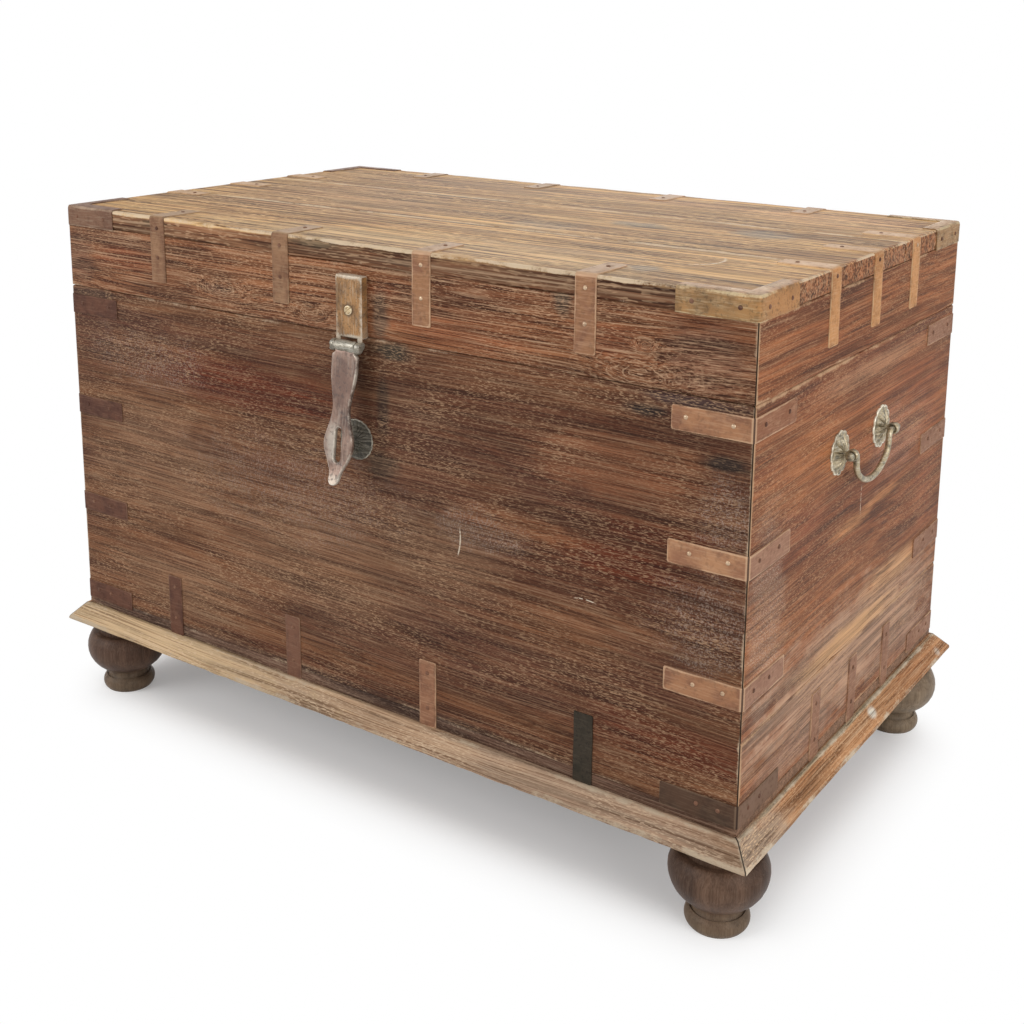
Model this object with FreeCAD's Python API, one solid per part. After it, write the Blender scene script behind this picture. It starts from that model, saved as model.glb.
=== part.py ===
import FreeCAD, Part
import math
import os

# A plank-built storage chest with metal straps, a hinged lid, a hasp, two handles and four turned feet.
# Millimetres. X runs along the front, Y from the front to the back, and Z up from the floor.
# Each piece is drawn about the middle of the box. At the end all of them move along Y together, so that the
# whole chest, with its hasp standing out in front, is centred on the origin.

# Box and lid
chest_width = 900.0
chest_depth = 530.0
carcass_height = 410.0
lid_height = 96.0
wall_thickness = 22.0
bottom_thickness = 12.0
lid_board_thickness = 22.0
side_lower_board_height = 81.0
edge_chamfer = 3.0
seam_gap = 0.4
board_count = 3

# Plinth
plinth_overhang = 20.0
plinth_thickness = 21.0
plinth_rail_width = 76.0
plinth_ledge = 4.0
plinth_edge_height = 3.5

# Turned feet, from the floor up
foot_height = 93.0
foot_inset = 50.0
foot_contact_radius = 28.0
foot_pad_radius = 31.5
foot_pad_height = 17.0
foot_waist_radius = 23.5
foot_waist_height = 21.0
foot_waist_top = 25.0
foot_belly_radius = 43.5
foot_belly_height = 38.5
foot_bulb_radius = 49.0
foot_bulb_height = 57.0
foot_bulb_upper_radius = 47.0
foot_bulb_upper_height = 67.0
foot_shoulder_radius = 42.0
foot_shoulder_height = 77.0
foot_neck_radius = 35.0
foot_tenon_radius = 12.5
foot_tenon_length = 18.0
foot_pad_chord_count = 3
foot_waist_chord_count = 2
foot_belly_chord_count = 3
foot_bulb_chord_count = 2
tenon_clearance = 0.1

# Flat metal straps
strap_thickness = 1.2
strap_width = 23.0
corner_strap_front_leg = 80.0
corner_strap_side_leg = 86.0
corner_strap_above_base = 20.0
corner_strap_below_seam = 22.0
corner_strap_rise_shares = (0, 0.318, 0.658, 1)
base_strap_width = 21.5
base_strap_height = 73.5
base_strap_from_end = 162.75
base_strap_offset = -3.0
base_side_strap_from_end = 167.0
base_side_strap_offset = 7.0
lid_strap_drop = 75.0
lid_strap_return = 56.0
lid_strap_from_end = 164.25
lid_strap_offset = -8.0
lid_side_strap_from_end = 155.0
lid_side_strap_offset = 11.0
front_strap_count = 4
side_strap_count = 3
bracket_leg = 80.0
bracket_height = 23.0
bracket_flange = 16.0

# Hasp: a leaf on the lid, an arm that swings on a pin, and a staple on the box
hasp_pivot_out = 14.0
hasp_pivot_below_seam = 9.0
hasp_lean = 8.0
hasp_pin_radius = 2.5
hasp_roll_radius = 6.0
hasp_roll_length = 26.0
hasp_ear_length = 6.2
hasp_leaf_width = 35.0
hasp_leaf_rise = 64.0
hasp_leaf_out = 10.0
hasp_leaf_wall = 2.0
hasp_leaf_above_seam = 1.5
hasp_arm_thickness = 5.0
hasp_arm_length = 145.0
hasp_shoulder_start = 7.5
hasp_shoulder_width = 34.0
hasp_shoulder_end = 24.0
hasp_waist_width = 22.0
hasp_waist_above_head = 37.0
hasp_head_width = 39.0
hasp_head_above_tip = 42.0
hasp_tip_width = 14.0
hasp_curl_length = 29.0
hasp_curl_out = 5.0
hasp_slot_width = 9.0
hasp_slot_length = 36.0
hasp_screw_radius = 4.8
hasp_screw_head = 1.4
hasp_screw_rise = 28.0
hasp_screw_shank_radius = 2.0
hasp_screw_depth = 14.0

# Staple and its rosette
staple_wire_radius = 2.5
staple_bend_radius = 13.0
staple_depth = 16.0
staple_clearance = 0.8
staple_chord_count = 5
hasp_rosette_radius = 22.0
hasp_rosette_height = 3.0
hasp_rosette_rim = 1.2
hasp_rosette_flute_count = 16
hasp_rosette_flute_depth = 1.0
hasp_rosette_top_radius = 15.5

# Carrying handles
handle_height_below_seam = 93.0
handle_offset = -10.0
handle_eye_spacing = 112.0
handle_pivot_out = 14.0
handle_wire_radius = 3.1
handle_drop = 38.0
handle_bend_radius = 6.5
handle_eye_to_leg = 11.5
handle_corner_radius = 20.0
handle_sweep_radius = 60.0
handle_knob_radius = 4.6
handle_knob_length = 7.5
handle_bend_chord_count = 2
handle_corner_chord_count = 2
handle_sweep_chord_count = 3
handle_eye_radius = 6.0
handle_eye_width = 6.5
handle_shank_width = 5.0
handle_shank_depth = 16.0
handle_rosette_radius = 23.0
handle_rosette_flute_count = 12
handle_rosette_flute_depth = 2.0
handle_rosette_plate = 1.8
handle_rosette_height = 6.0
handle_rosette_top_radius = 9.0

# Strap hinges on the back
hinge_from_end = 260.0
hinge_width = 37.0
hinge_barrel_radius = 6.0
hinge_pin_radius = 2.6
hinge_leaf_thickness = 2.5
hinge_lower_leaf = 110.0
hinge_upper_leaf = 66.0
hinge_leaf_taper = 8.0

# Clearances
pin_clearance = 0.08
side_play = 0.3
face_clearance = 0.3
overrun = 5.0
tolerance = 0.01

# Levels above the floor
plinth_top = foot_height + plinth_thickness
seam_height = plinth_top + carcass_height
carcass_top = seam_height - seam_gap
lid_top = seam_height + lid_height
half_width = chest_width / 2
half_depth = chest_depth / 2
plinth_width = chest_width + 2 * plinth_overhang
plinth_depth = chest_depth + 2 * plinth_overhang
strap_chamfer = edge_chamfer + math.hypot(strap_thickness, strap_thickness) * math.tan(math.pi / 8)

# Distances down the hasp's arm from its pivot
hasp_head_distance = hasp_arm_length - hasp_head_above_tip
hasp_waist_distance = hasp_head_distance - hasp_waist_above_head
hasp_curl_start = hasp_arm_length - hasp_curl_length

# Places of the moving pieces
hasp_pivot = FreeCAD.Vector(0, -half_depth - hasp_pivot_out, seam_height - hasp_pivot_below_seam)
staple_height = hasp_pivot.z - hasp_head_distance
handle_height = seam_height - handle_height_below_seam
handle_pivot = FreeCAD.Vector(half_width + handle_pivot_out, handle_offset, handle_height)
hinge_axis_out = hinge_barrel_radius + face_clearance
hinge_axis = FreeCAD.Vector(0, half_depth + hinge_axis_out, seam_height - seam_gap / 2)

bail_reach = handle_eye_spacing / 2 + handle_eye_width / 2 + side_play

# How far the staple's bend stands out: the leaning arm's back face just clears it.
lean = math.radians(hasp_lean)
staple_outer_radius = staple_bend_radius + staple_wire_radius
staple_bend_out = hasp_pivot_out + (
    hasp_head_distance * math.sin(lean) - hasp_arm_thickness / 2 - staple_outer_radius - staple_clearance
) / math.cos(lean)

# The hasp's tip reaches furthest forward, and the plinth furthest back.
hasp_tip_out = (
    hasp_pivot_out
    + hasp_arm_length * math.sin(lean)
    + (hasp_arm_thickness / 2 + hasp_curl_out) * math.cos(lean)
)
centre_shift = FreeCAD.Vector(0, (hasp_tip_out - plinth_overhang) / 2, 0)

# The two corners that each side of a mitred frame runs between, as signs of X and Y
sides = {
    "front": ((-1, -1), (1, -1)),
    "right": ((1, -1), (1, 1)),
    "back": ((1, 1), (-1, 1)),
    "left": ((-1, 1), (-1, -1)),
}
corners = {"front_left": (-1, -1), "front_right": (1, -1), "back_left": (-1, 1), "back_right": (1, 1)}
pieces = {}


def vector(x, y, z):
    return FreeCAD.Vector(x, y, z)


def block(x_low, x_high, y_low, y_high, z_low, z_high):
    """A box between two corners."""
    return Part.makeBox(x_high - x_low, y_high - y_low, z_high - z_low, vector(x_low, y_low, z_low))


def eased_block(width, depth, low, high, chamfer, ease_top):
    """A box with its upright edges chamfered, and its top edges too where asked."""
    solid = block(-width / 2, width / 2, -depth / 2, depth / 2, low, high)
    edges = []
    for edge in solid.Edges:
        heights = [vertex.Z for vertex in edge.Vertexes]
        upright = max(heights) - min(heights) > tolerance
        at_top = min(heights) > high - tolerance
        if upright or (ease_top and at_top):
            edges.append(edge)
    return solid.makeChamfer(chamfer, edges)


def mitre_wedge(side, width, depth, reach, low, high):
    """The space of one side of a mitred frame, from its two outer corners to its two inner ones."""
    first, second = sides[side]
    outer = [vector(x * width / 2, y * depth / 2, low) for x, y in (first, second)]
    inner = [vector(x * (width / 2 - reach), y * (depth / 2 - reach), low) for x, y in (second, first)]
    face = Part.Face(Part.makePolygon(outer + inner + outer[:1]))
    return face.extrude(vector(0, 0, high - low))


def between(solid, low, high):
    """What a solid holds between two levels."""
    return solid.common(block(-plinth_width, plinth_width, -plinth_depth, plinth_depth, low, high))


def boards(solid, low, high):
    """Cuts a solid into equal boards that run along X, from the front to the back."""
    board_depth = chest_depth / board_count
    cut = []
    for index in range(board_count):
        start = -half_depth + index * board_depth
        cut.append(solid.common(block(-chest_width, chest_width, start, start + board_depth, low, high)))
    return cut


def rod(start, end, radius):
    """A round bar between two points."""
    run = end - start
    return Part.makeCylinder(radius, run.Length, start, run)


def arc(start, middle, end):
    return Part.Arc(start, middle, end).toShape()


def line(start, end):
    return Part.LineSegment(start, end).toShape()


def chords(start, middle, end, count):
    """Even points along an arc, without its first."""
    return arc(start, middle, end).discretize(Number=count + 1)[1:]


def turned(points):
    """A solid turned about Z from an outline in the plane of X and Z that starts and ends on the axis."""
    outline = Part.Face(Part.makePolygon(points + points[:1]))
    return outline.revolve(vector(0, 0, 0), vector(0, 0, 1), 360)


def beyond(place, direction, reach):
    """A large block that lies on the far side of a plane, to cut a rod's end with."""
    solid = Part.makeBox(reach * 2, reach * 2, reach, vector(-reach, -reach, 0))
    solid.Placement = FreeCAD.Placement(place, FreeCAD.Rotation(vector(0, 0, 1), direction))
    return solid


def bent_rod(points, radius):
    """A round bar along straight runs, mitred where one run meets the next."""
    runs = [(end - start).normalize() for start, end in zip(points, points[1:])]
    solids = []
    for index, run in enumerate(runs):
        start = points[index]
        end = points[index + 1]
        first = index == 0
        last = index == len(runs) - 1
        low = start if first else start - run * radius
        high = end if last else end + run * radius
        solid = rod(low, high, radius)
        if not first:
            solid = solid.cut(beyond(start, -run - runs[index - 1], radius * 4))
        if not last:
            solid = solid.cut(beyond(end, run + runs[index + 1], radius * 4))
        solids.append(solid)
    return solids[0].multiFuse(solids[1:])


def prismoid(lower, upper):
    """A solid between two outlines of as many points, with a flat face on each of their edges."""
    faces = [Part.Face(Part.makePolygon(points + points[:1])) for points in (lower, upper)]
    for index in range(len(lower)):
        ring = [lower[index - 1], lower[index], upper[index], upper[index - 1]]
        faces.append(Part.Face(Part.makePolygon(ring + ring[:1])))
    return Part.makeSolid(Part.makeShell(faces))


def fluted_outline(radius, flute_depth, flutes, height):
    """Points round a rosette at one height: ridges, with flutes between them cut in towards the middle."""
    points = []
    step = math.pi / flutes
    for index in range(flutes * 2):
        reach = radius if index % 2 == 0 else radius - flute_depth
        points.append(vector(reach * math.cos(index * step), reach * math.sin(index * step), height))
    return points


def fluted_rosette(radius, flute_depth, flutes, plate, top_radius, height):
    """A thin fluted plate with a fluted dome on it, standing along Z."""
    foot = fluted_outline(radius, flute_depth, flutes, 0)
    shoulder = fluted_outline(radius, flute_depth, flutes, plate)
    top = fluted_outline(top_radius, flute_depth * top_radius / radius, flutes, height)
    return prismoid(foot, shoulder).fuse(prismoid(shoulder, top))


def spaced(count, span, from_end, offset):
    """The middles of evenly spaced pieces along a side, the outermost of them so far from its ends."""
    pitch = (span - 2 * from_end) / (count - 1)
    return [offset + (index - (count - 1) / 2) * pitch for index in range(count)]


def make_plinth():
    """Four bevelled rails, mitred at the corners, that stand out round the box and carry it."""
    lower = block(-plinth_width / 2, plinth_width / 2, -plinth_depth / 2, plinth_depth / 2,
                  foot_height, foot_height + plinth_edge_height)
    outlines = []
    for reach, height in ((plinth_overhang, foot_height + plinth_edge_height), (plinth_ledge, plinth_top)):
        x = half_width + reach
        y = half_depth + reach
        points = [vector(-x, -y, height), vector(x, -y, height), vector(x, y, height), vector(-x, y, height)]
        outlines.append(points)
    frame = lower.fuse(prismoid(*outlines))
    for x, y in corners.values():
        place = foot_place(x, y)
        frame = frame.cut(rod(place + vector(0, 0, foot_height - overrun),
                              place + vector(0, 0, foot_height + foot_tenon_length + tenon_clearance),
                              foot_tenon_radius + tenon_clearance))
    for side in sides:
        wedge = mitre_wedge(side, plinth_width, plinth_depth, plinth_rail_width, foot_height, plinth_top)
        pieces["plinth_rail_" + side] = frame.common(wedge)


def foot_place(x, y):
    """The middle of a foot on the floor, from the signs of its corner."""
    return vector(x * (plinth_width / 2 - foot_inset), y * (plinth_depth / 2 - foot_inset), 0)


def make_feet():
    """Four bun feet, each turned from one piece: pad, waist, bulb, shoulder, neck and a tenon."""
    contact = vector(foot_contact_radius, 0, 0)
    pad_middle = vector(foot_pad_radius, 0, foot_pad_height / 2)
    pad_top = vector(foot_contact_radius, 0, foot_pad_height)
    waist = vector(foot_waist_radius, 0, foot_waist_height)
    waist_top = vector(foot_contact_radius, 0, foot_waist_top)
    belly = vector(foot_belly_radius, 0, foot_belly_height)
    bulb = vector(foot_bulb_radius, 0, foot_bulb_height)
    bulb_upper = vector(foot_bulb_upper_radius, 0, foot_bulb_upper_height)
    shoulder = vector(foot_shoulder_radius, 0, foot_shoulder_height)
    outline = [vector(0, 0, 0), contact]
    outline += chords(contact, pad_middle, pad_top, foot_pad_chord_count)
    outline += chords(pad_top, waist, waist_top, foot_waist_chord_count)
    outline += chords(waist_top, belly, bulb, foot_belly_chord_count)
    outline += chords(bulb, bulb_upper, shoulder, foot_bulb_chord_count)
    outline += [
        vector(foot_neck_radius, 0, foot_shoulder_height),
        vector(foot_neck_radius, 0, foot_height),
        vector(foot_tenon_radius, 0, foot_height),
        vector(foot_tenon_radius, 0, foot_height + foot_tenon_length),
        vector(0, 0, foot_height + foot_tenon_length),
    ]
    foot = turned(outline)
    pieces["feet"] = Part.makeCompound([foot.translated(foot_place(x, y)) for x, y in corners.values()])


def make_carcass(block_solid):
    """Bottom boards under four mitred walls. Each end wall is two boards high."""
    wall_low = plinth_top + bottom_thickness
    bottom = between(block_solid, plinth_top, wall_low)
    for name, board in zip(("front", "middle", "back"), boards(bottom, plinth_top, wall_low)):
        pieces["bottom_board_" + name] = board
    inner = block(-half_width + wall_thickness, half_width - wall_thickness,
                  -half_depth + wall_thickness, half_depth - wall_thickness, plinth_top, seam_height)
    ring = between(block_solid, wall_low, carcass_top).cut(inner)
    joint = wall_low + side_lower_board_height
    for side in sides:
        wall = ring.common(mitre_wedge(side, chest_width, chest_depth, wall_thickness, wall_low, carcass_top))
        if side in ("left", "right"):
            pieces["wall_" + side + "_lower"] = between(wall, wall_low, joint)
            pieces["wall_" + side + "_upper"] = between(wall, joint, carcass_top)
        else:
            pieces["wall_" + side] = wall


def make_lid(block_solid):
    """Three top boards nailed over a mitred frame of aprons."""
    board_low = lid_top - lid_board_thickness
    top = between(block_solid, board_low, lid_top)
    for name, board in zip(("front", "middle", "back"), boards(top, board_low, lid_top)):
        pieces["lid_board_" + name] = board
    inner = block(-half_width + wall_thickness, half_width - wall_thickness,
                  -half_depth + wall_thickness, half_depth - wall_thickness, seam_height, board_low)
    ring = between(block_solid, seam_height, board_low).cut(inner)
    for side in sides:
        wedge = mitre_wedge(side, chest_width, chest_depth, wall_thickness, seam_height, board_low)
        pieces["lid_apron_" + side] = ring.common(wedge)


def corner_space(x, y, x_leg, y_leg, low, high):
    """The space round one upright corner, out to past the straps' faces."""
    xs = sorted((x * (half_width - x_leg), x * (half_width + overrun)))
    ys = sorted((y * (half_depth - y_leg), y * (half_depth + overrun)))
    return block(xs[0], xs[1], ys[0], ys[1], low, high)


def make_carcass_straps(block_solid):
    """Straps bent round the box's four corners at each level, and short upright ones above the base."""
    outside = eased_block(chest_width + 2 * strap_thickness, chest_depth + 2 * strap_thickness,
                          plinth_top, carcass_top, strap_chamfer, False)
    shell = outside.cut(block_solid)
    strap_rise = carcass_height - corner_strap_above_base - corner_strap_below_seam
    for name, (x, y) in corners.items():
        straps = []
        for share in corner_strap_rise_shares:
            middle = plinth_top + corner_strap_above_base + share * strap_rise
            space = corner_space(x, y, corner_strap_front_leg, corner_strap_side_leg,
                                 middle - strap_width / 2, middle + strap_width / 2)
            straps.append(shell.common(space))
        pieces["corner_straps_" + name] = Part.makeCompound(straps)
    half = base_strap_width / 2
    high = plinth_top + base_strap_height
    along = spaced(front_strap_count, chest_width, base_strap_from_end, base_strap_offset)
    across = spaced(side_strap_count, chest_depth, base_side_strap_from_end, base_side_strap_offset)
    for side, sign in (("front", -1), ("back", 1)):
        y = sorted((sign * half_depth, sign * (half_depth + strap_thickness)))
        straps = [block(x - half, x + half, y[0], y[1], plinth_top, high) for x in along]
        pieces["base_straps_" + side] = Part.makeCompound(straps)
    for side, sign in (("left", -1), ("right", 1)):
        x = sorted((sign * half_width, sign * (half_width + strap_thickness)))
        straps = [block(x[0], x[1], y - half, y + half, plinth_top, high) for y in across]
        pieces["base_straps_" + side] = Part.makeCompound(straps)


def make_lid_straps(block_solid):
    """Straps folded over the lid's edges, and a three-sided bracket on each of its top corners."""
    outside = eased_block(chest_width + 2 * strap_thickness, chest_depth + 2 * strap_thickness,
                          seam_height, lid_top + strap_thickness, strap_chamfer, True)
    shell = outside.cut(block_solid)
    half = strap_width / 2
    low = lid_top - lid_strap_drop
    high = lid_top + overrun
    for side, sign in (("front", -1), ("back", 1)):
        y = sorted((sign * (half_depth - lid_strap_return), sign * (half_depth + overrun)))
        straps = []
        for x in spaced(front_strap_count, chest_width, lid_strap_from_end, lid_strap_offset):
            straps.append(shell.common(block(x - half, x + half, y[0], y[1], low, high)))
        pieces["lid_straps_" + side] = Part.makeCompound(straps)
    for side, sign in (("left", -1), ("right", 1)):
        x = sorted((sign * (half_width - lid_strap_return), sign * (half_width + overrun)))
        straps = []
        for y in spaced(side_strap_count, chest_depth, lid_side_strap_from_end, lid_side_strap_offset):
            straps.append(shell.common(block(x[0], x[1], y - half, y + half, low, high)))
        pieces["lid_straps_" + side] = Part.makeCompound(straps)
    opening = block(-half_width + bracket_flange, half_width - bracket_flange,
                    -half_depth + bracket_flange, half_depth - bracket_flange, seam_height, high)
    for name, (x, y) in corners.items():
        space = corner_space(x, y, bracket_leg, bracket_leg, lid_top - bracket_height, high)
        pieces["lid_bracket_" + name] = shell.common(space.cut(opening))


def hasp_outline():
    """The arm seen from the front, hanging from the pivot at zero: shoulders, waist, head and round tip."""
    roll = hasp_roll_length / 2
    tip_centre = hasp_arm_length - hasp_tip_width / 2
    right = [
        vector(hasp_shoulder_width / 2, 0, -hasp_shoulder_end),
        vector(hasp_waist_width / 2, 0, -hasp_waist_distance),
        vector(hasp_head_width / 2, 0, -hasp_head_distance),
        vector(hasp_tip_width / 2, 0, -tip_centre),
    ]
    curve = Part.BSplineCurve()
    curve.interpolate(right, InitialTangent=vector(0, 0, -1), FinalTangent=vector(0, 0, -1))
    mirrored = Part.BSplineCurve()
    mirrored.interpolate([vector(-point.x, 0, point.z) for point in reversed(right)],
                         InitialTangent=vector(0, 0, 1), FinalTangent=vector(0, 0, 1))
    top = [
        vector(-hasp_shoulder_width / 2, 0, -hasp_shoulder_end),
        vector(-hasp_shoulder_width / 2, 0, -hasp_shoulder_start),
        vector(-roll, 0, -hasp_shoulder_start),
        vector(-roll, 0, 0),
        vector(roll, 0, 0),
        vector(roll, 0, -hasp_shoulder_start),
        vector(hasp_shoulder_width / 2, 0, -hasp_shoulder_start),
        vector(hasp_shoulder_width / 2, 0, -hasp_shoulder_end),
    ]
    tip = arc(right[-1], vector(0, 0, -hasp_arm_length), vector(-right[-1].x, 0, right[-1].z))
    edges = [line(start, end) for start, end in zip(top, top[1:])]
    return Part.Wire(edges + [curve.toShape(), tip, mirrored.toShape()])


def hasp_side_view():
    """The arm seen from the side: a flat bar whose end curls away from the box."""
    half = hasp_arm_thickness / 2
    end = -hasp_arm_length
    start = -hasp_curl_start
    middle = (start + end) / 2
    quarter = hasp_curl_out / 4
    bends = ((0, start), (quarter, middle), (hasp_curl_out, end))
    front = [vector(0, -half - reach, height) for reach, height in bends]
    back = [vector(0, half - reach, height) for reach, height in bends]
    top_front = vector(0, -half, 0)
    top_back = vector(0, half, 0)
    return Part.Wire([
        line(top_back, top_front),
        line(top_front, front[0]),
        arc(*front),
        line(front[2], back[2]),
        arc(*reversed(back)),
        line(back[0], top_back),
    ])


def make_hasp():
    """The swinging arm on its pin, the folded leaf that carries it on the lid, and the leaf's screw."""
    across = vector(1, 0, 0)
    out = vector(0, -1, 0)
    half_head = hasp_head_width / 2
    slab = Part.Face(hasp_side_view()).extrude(across * hasp_head_width).translated(across * -half_head)
    profile = Part.Face(hasp_outline()).extrude(out * hasp_pivot_out * 2).translated(out * -hasp_pivot_out)
    arm = slab.common(profile)
    roll = across * (hasp_roll_length / 2)
    arm = arm.fuse(rod(-roll, roll, hasp_roll_radius))
    arm = arm.cut(rod(-roll * 2, roll * 2, hasp_pin_radius + pin_clearance))
    slot_half = hasp_slot_width / 2
    slot_reach = hasp_slot_length / 2 - slot_half
    slot = block(-slot_half, slot_half, -hasp_arm_thickness, hasp_arm_thickness,
                 -hasp_head_distance - slot_reach, -hasp_head_distance + slot_reach)
    for end in (-slot_reach, slot_reach):
        centre = vector(0, 0, end - hasp_head_distance)
        slot = slot.fuse(rod(centre - out * hasp_arm_thickness, centre + out * hasp_arm_thickness, slot_half))
    arm = arm.cut(slot).removeSplitter()
    arm.rotate(vector(0, 0, 0), vector(-1, 0, 0), hasp_lean)
    pieces["hasp_arm"] = arm.translated(hasp_pivot)

    ear_start = hasp_roll_length / 2 + side_play
    ear_end = ear_start + hasp_ear_length
    leaf_low = seam_height + hasp_leaf_above_seam
    leaf_high = seam_height + hasp_leaf_rise
    half_leaf = hasp_leaf_width / 2
    front = -half_depth - hasp_leaf_out
    tray = block(-half_leaf, half_leaf, front, -half_depth, leaf_low, leaf_high)
    tray = tray.cut(block(-half_leaf + hasp_leaf_wall, half_leaf - hasp_leaf_wall, front + hasp_leaf_wall,
                          -half_depth, leaf_low + hasp_leaf_wall, leaf_high - hasp_leaf_wall))
    tongue = block(-half_leaf, half_leaf, front, front + hasp_leaf_wall, hasp_pivot.z, leaf_low)
    leaf = tray.fuse(tongue)
    gap_radius = hasp_roll_radius + side_play
    leaf = leaf.cut(rod(hasp_pivot - across * ear_start, hasp_pivot + across * ear_start, gap_radius))
    leaf = leaf.cut(block(-ear_start, ear_start, front - overrun, -half_depth,
                          hasp_pivot.z - overrun, hasp_pivot.z))
    for sign in (-1, 1):
        side = across * sign
        ear = rod(hasp_pivot + side * ear_start, hasp_pivot + side * ear_end, hasp_roll_radius)
        leaf = leaf.fuse(ear)
    leaf = leaf.cut(rod(hasp_pivot - across * chest_width, hasp_pivot + across * chest_width,
                        hasp_pin_radius + pin_clearance))
    screw_place = vector(0, front, seam_height + hasp_screw_rise)
    leaf = leaf.cut(rod(screw_place - out * hasp_leaf_out, screw_place + out * overrun,
                        hasp_screw_shank_radius + pin_clearance))
    pieces["hasp_leaf"] = leaf.removeSplitter()

    pieces["hasp_pin"] = rod(hasp_pivot - across * ear_end, hasp_pivot + across * ear_end, hasp_pin_radius)

    head = rod(screw_place, screw_place + out * hasp_screw_head, hasp_screw_radius)
    shank_end = screw_place - out * (hasp_leaf_out + hasp_screw_depth)
    pieces["hasp_leaf_screw"] = head.fuse(rod(screw_place, shank_end, hasp_screw_shank_radius))
    hole = rod(screw_place, shank_end - out * side_play, hasp_screw_shank_radius + pin_clearance)
    pieces["lid_apron_front"] = pieces["lid_apron_front"].cut(hole)


def make_staple():
    """The wire loop that takes the padlock, driven through a low lobed rosette into the front wall."""
    out = vector(0, -1, 0)
    face = vector(0, -half_depth, staple_height)
    start = face - out * staple_depth
    bend = face + out * staple_bend_out
    nose = bend + out * staple_bend_radius
    leg = vector(0, 0, staple_bend_radius)
    points = [start - leg, bend - leg]
    points += chords(bend - leg, nose, bend + leg, staple_chord_count)
    points += [start + leg]
    pieces["staple"] = bent_rod(points, staple_wire_radius)

    rosette = fluted_rosette(hasp_rosette_radius, hasp_rosette_flute_depth, hasp_rosette_flute_count,
                             hasp_rosette_rim, hasp_rosette_top_radius, hasp_rosette_height)
    rosette.rotate(vector(0, 0, 0), vector(1, 0, 0), 90)
    rosette = rosette.translated(face)
    for sign in (-1, 1):
        hole_start = start + leg * sign - out * side_play
        hole = rod(hole_start, bend + leg * sign, staple_wire_radius + tenon_clearance)
        rosette = rosette.cut(hole)
        pieces["wall_front"] = pieces["wall_front"].cut(hole)
    pieces["hasp_rosette"] = rosette


def bail_points():
    """Points down the bail's centre line, from one knob to the other, in the upright plane of its eyes.

    Below each eye a tight bend turns the bar down and a wider corner leans it in. A long sweep joins the two.
    """
    half = handle_eye_spacing / 2
    leg = half - handle_eye_to_leg
    turn = handle_bend_radius
    flank = leg - handle_corner_radius
    centre_gap = handle_sweep_radius - handle_corner_radius
    sweep_centre = handle_sweep_radius - handle_drop
    corner_centre = sweep_centre - math.sqrt(centre_gap ** 2 - flank ** 2)
    lean_out = math.atan2(flank, sweep_centre - corner_centre)

    def place(y, z):
        return handle_pivot + vector(0, y, z)

    def on_corner(sign, angle):
        reach = flank + handle_corner_radius * math.sin(angle)
        return place(sign * reach, corner_centre - handle_corner_radius * math.cos(angle))

    def on_bend(sign, angle):
        return place(sign * (leg + turn * (1 - math.sin(angle))), -turn * (1 - math.cos(angle)))

    quarter = math.pi / 2
    middle_angle = (lean_out + quarter) / 2
    points = [place(-bail_reach, 0), on_bend(-1, 0)]
    points += chords(on_bend(-1, 0), on_bend(-1, quarter / 2), on_bend(-1, quarter), handle_bend_chord_count)
    points += [on_corner(-1, quarter)]
    points += chords(on_corner(-1, quarter), on_corner(-1, middle_angle), on_corner(-1, lean_out),
                     handle_corner_chord_count)
    points += chords(on_corner(-1, lean_out), place(0, -handle_drop), on_corner(1, lean_out),
                     handle_sweep_chord_count)
    points += chords(on_corner(1, lean_out), on_corner(1, middle_angle), on_corner(1, quarter),
                     handle_corner_chord_count)
    points += [on_bend(1, quarter)]
    points += chords(on_bend(1, quarter), on_bend(1, quarter / 2), on_bend(1, 0), handle_bend_chord_count)
    return points + [place(bail_reach, 0)]


def mirrored(solid):
    """The same piece on the left end of the chest."""
    return solid.mirror(vector(0, 0, 0), vector(1, 0, 0))


def make_handles():
    """A carrying handle on each end: two fluted rosettes, two eyes, and a bail that hangs in them."""
    along = vector(0, 1, 0)
    bail = bent_rod(bail_points(), handle_wire_radius)
    rosette_solid = fluted_rosette(
        handle_rosette_radius, handle_rosette_flute_depth, handle_rosette_flute_count,
        handle_rosette_plate, handle_rosette_top_radius, handle_rosette_height,
    )
    rosette_solid.rotate(vector(0, 0, 0), along, 90)
    shank_half = handle_shank_width / 2
    hole_half = shank_half + tenon_clearance
    rosettes = []
    eyes = []
    for sign in (-1, 1):
        knob = handle_pivot + along * sign * bail_reach
        bail = bail.fuse(rod(knob, knob + along * sign * handle_knob_length, handle_knob_radius))
        base = handle_pivot + along * sign * (handle_eye_spacing / 2)
        shank_start = half_width - handle_shank_depth
        shank = block(shank_start, base.x, base.y - shank_half, base.y + shank_half,
                      base.z - shank_half, base.z + shank_half)
        hole = block(shank_start - side_play, base.x, base.y - hole_half, base.y + hole_half,
                     base.z - hole_half, base.z + hole_half)
        rosettes.append(rosette_solid.translated(vector(half_width, base.y, base.z)).cut(hole))
        half_eye = along * (handle_eye_width / 2)
        eye = rod(base - half_eye, base + half_eye, handle_eye_radius).fuse(shank)
        bore = rod(base - half_eye * 2, base + half_eye * 2, handle_wire_radius + pin_clearance)
        eyes.append(eye.cut(bore))
        pieces["wall_right_upper"] = pieces["wall_right_upper"].cut(hole)
        pieces["wall_left_upper"] = pieces["wall_left_upper"].cut(mirrored(hole))
    pieces["handle_rosettes"] = Part.makeCompound(rosettes + [mirrored(solid) for solid in rosettes])
    pieces["handle_eyes"] = Part.makeCompound(eyes + [mirrored(solid) for solid in eyes])
    pieces["handle_right_bail"] = bail
    pieces["handle_left_bail"] = mirrored(bail)


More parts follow.
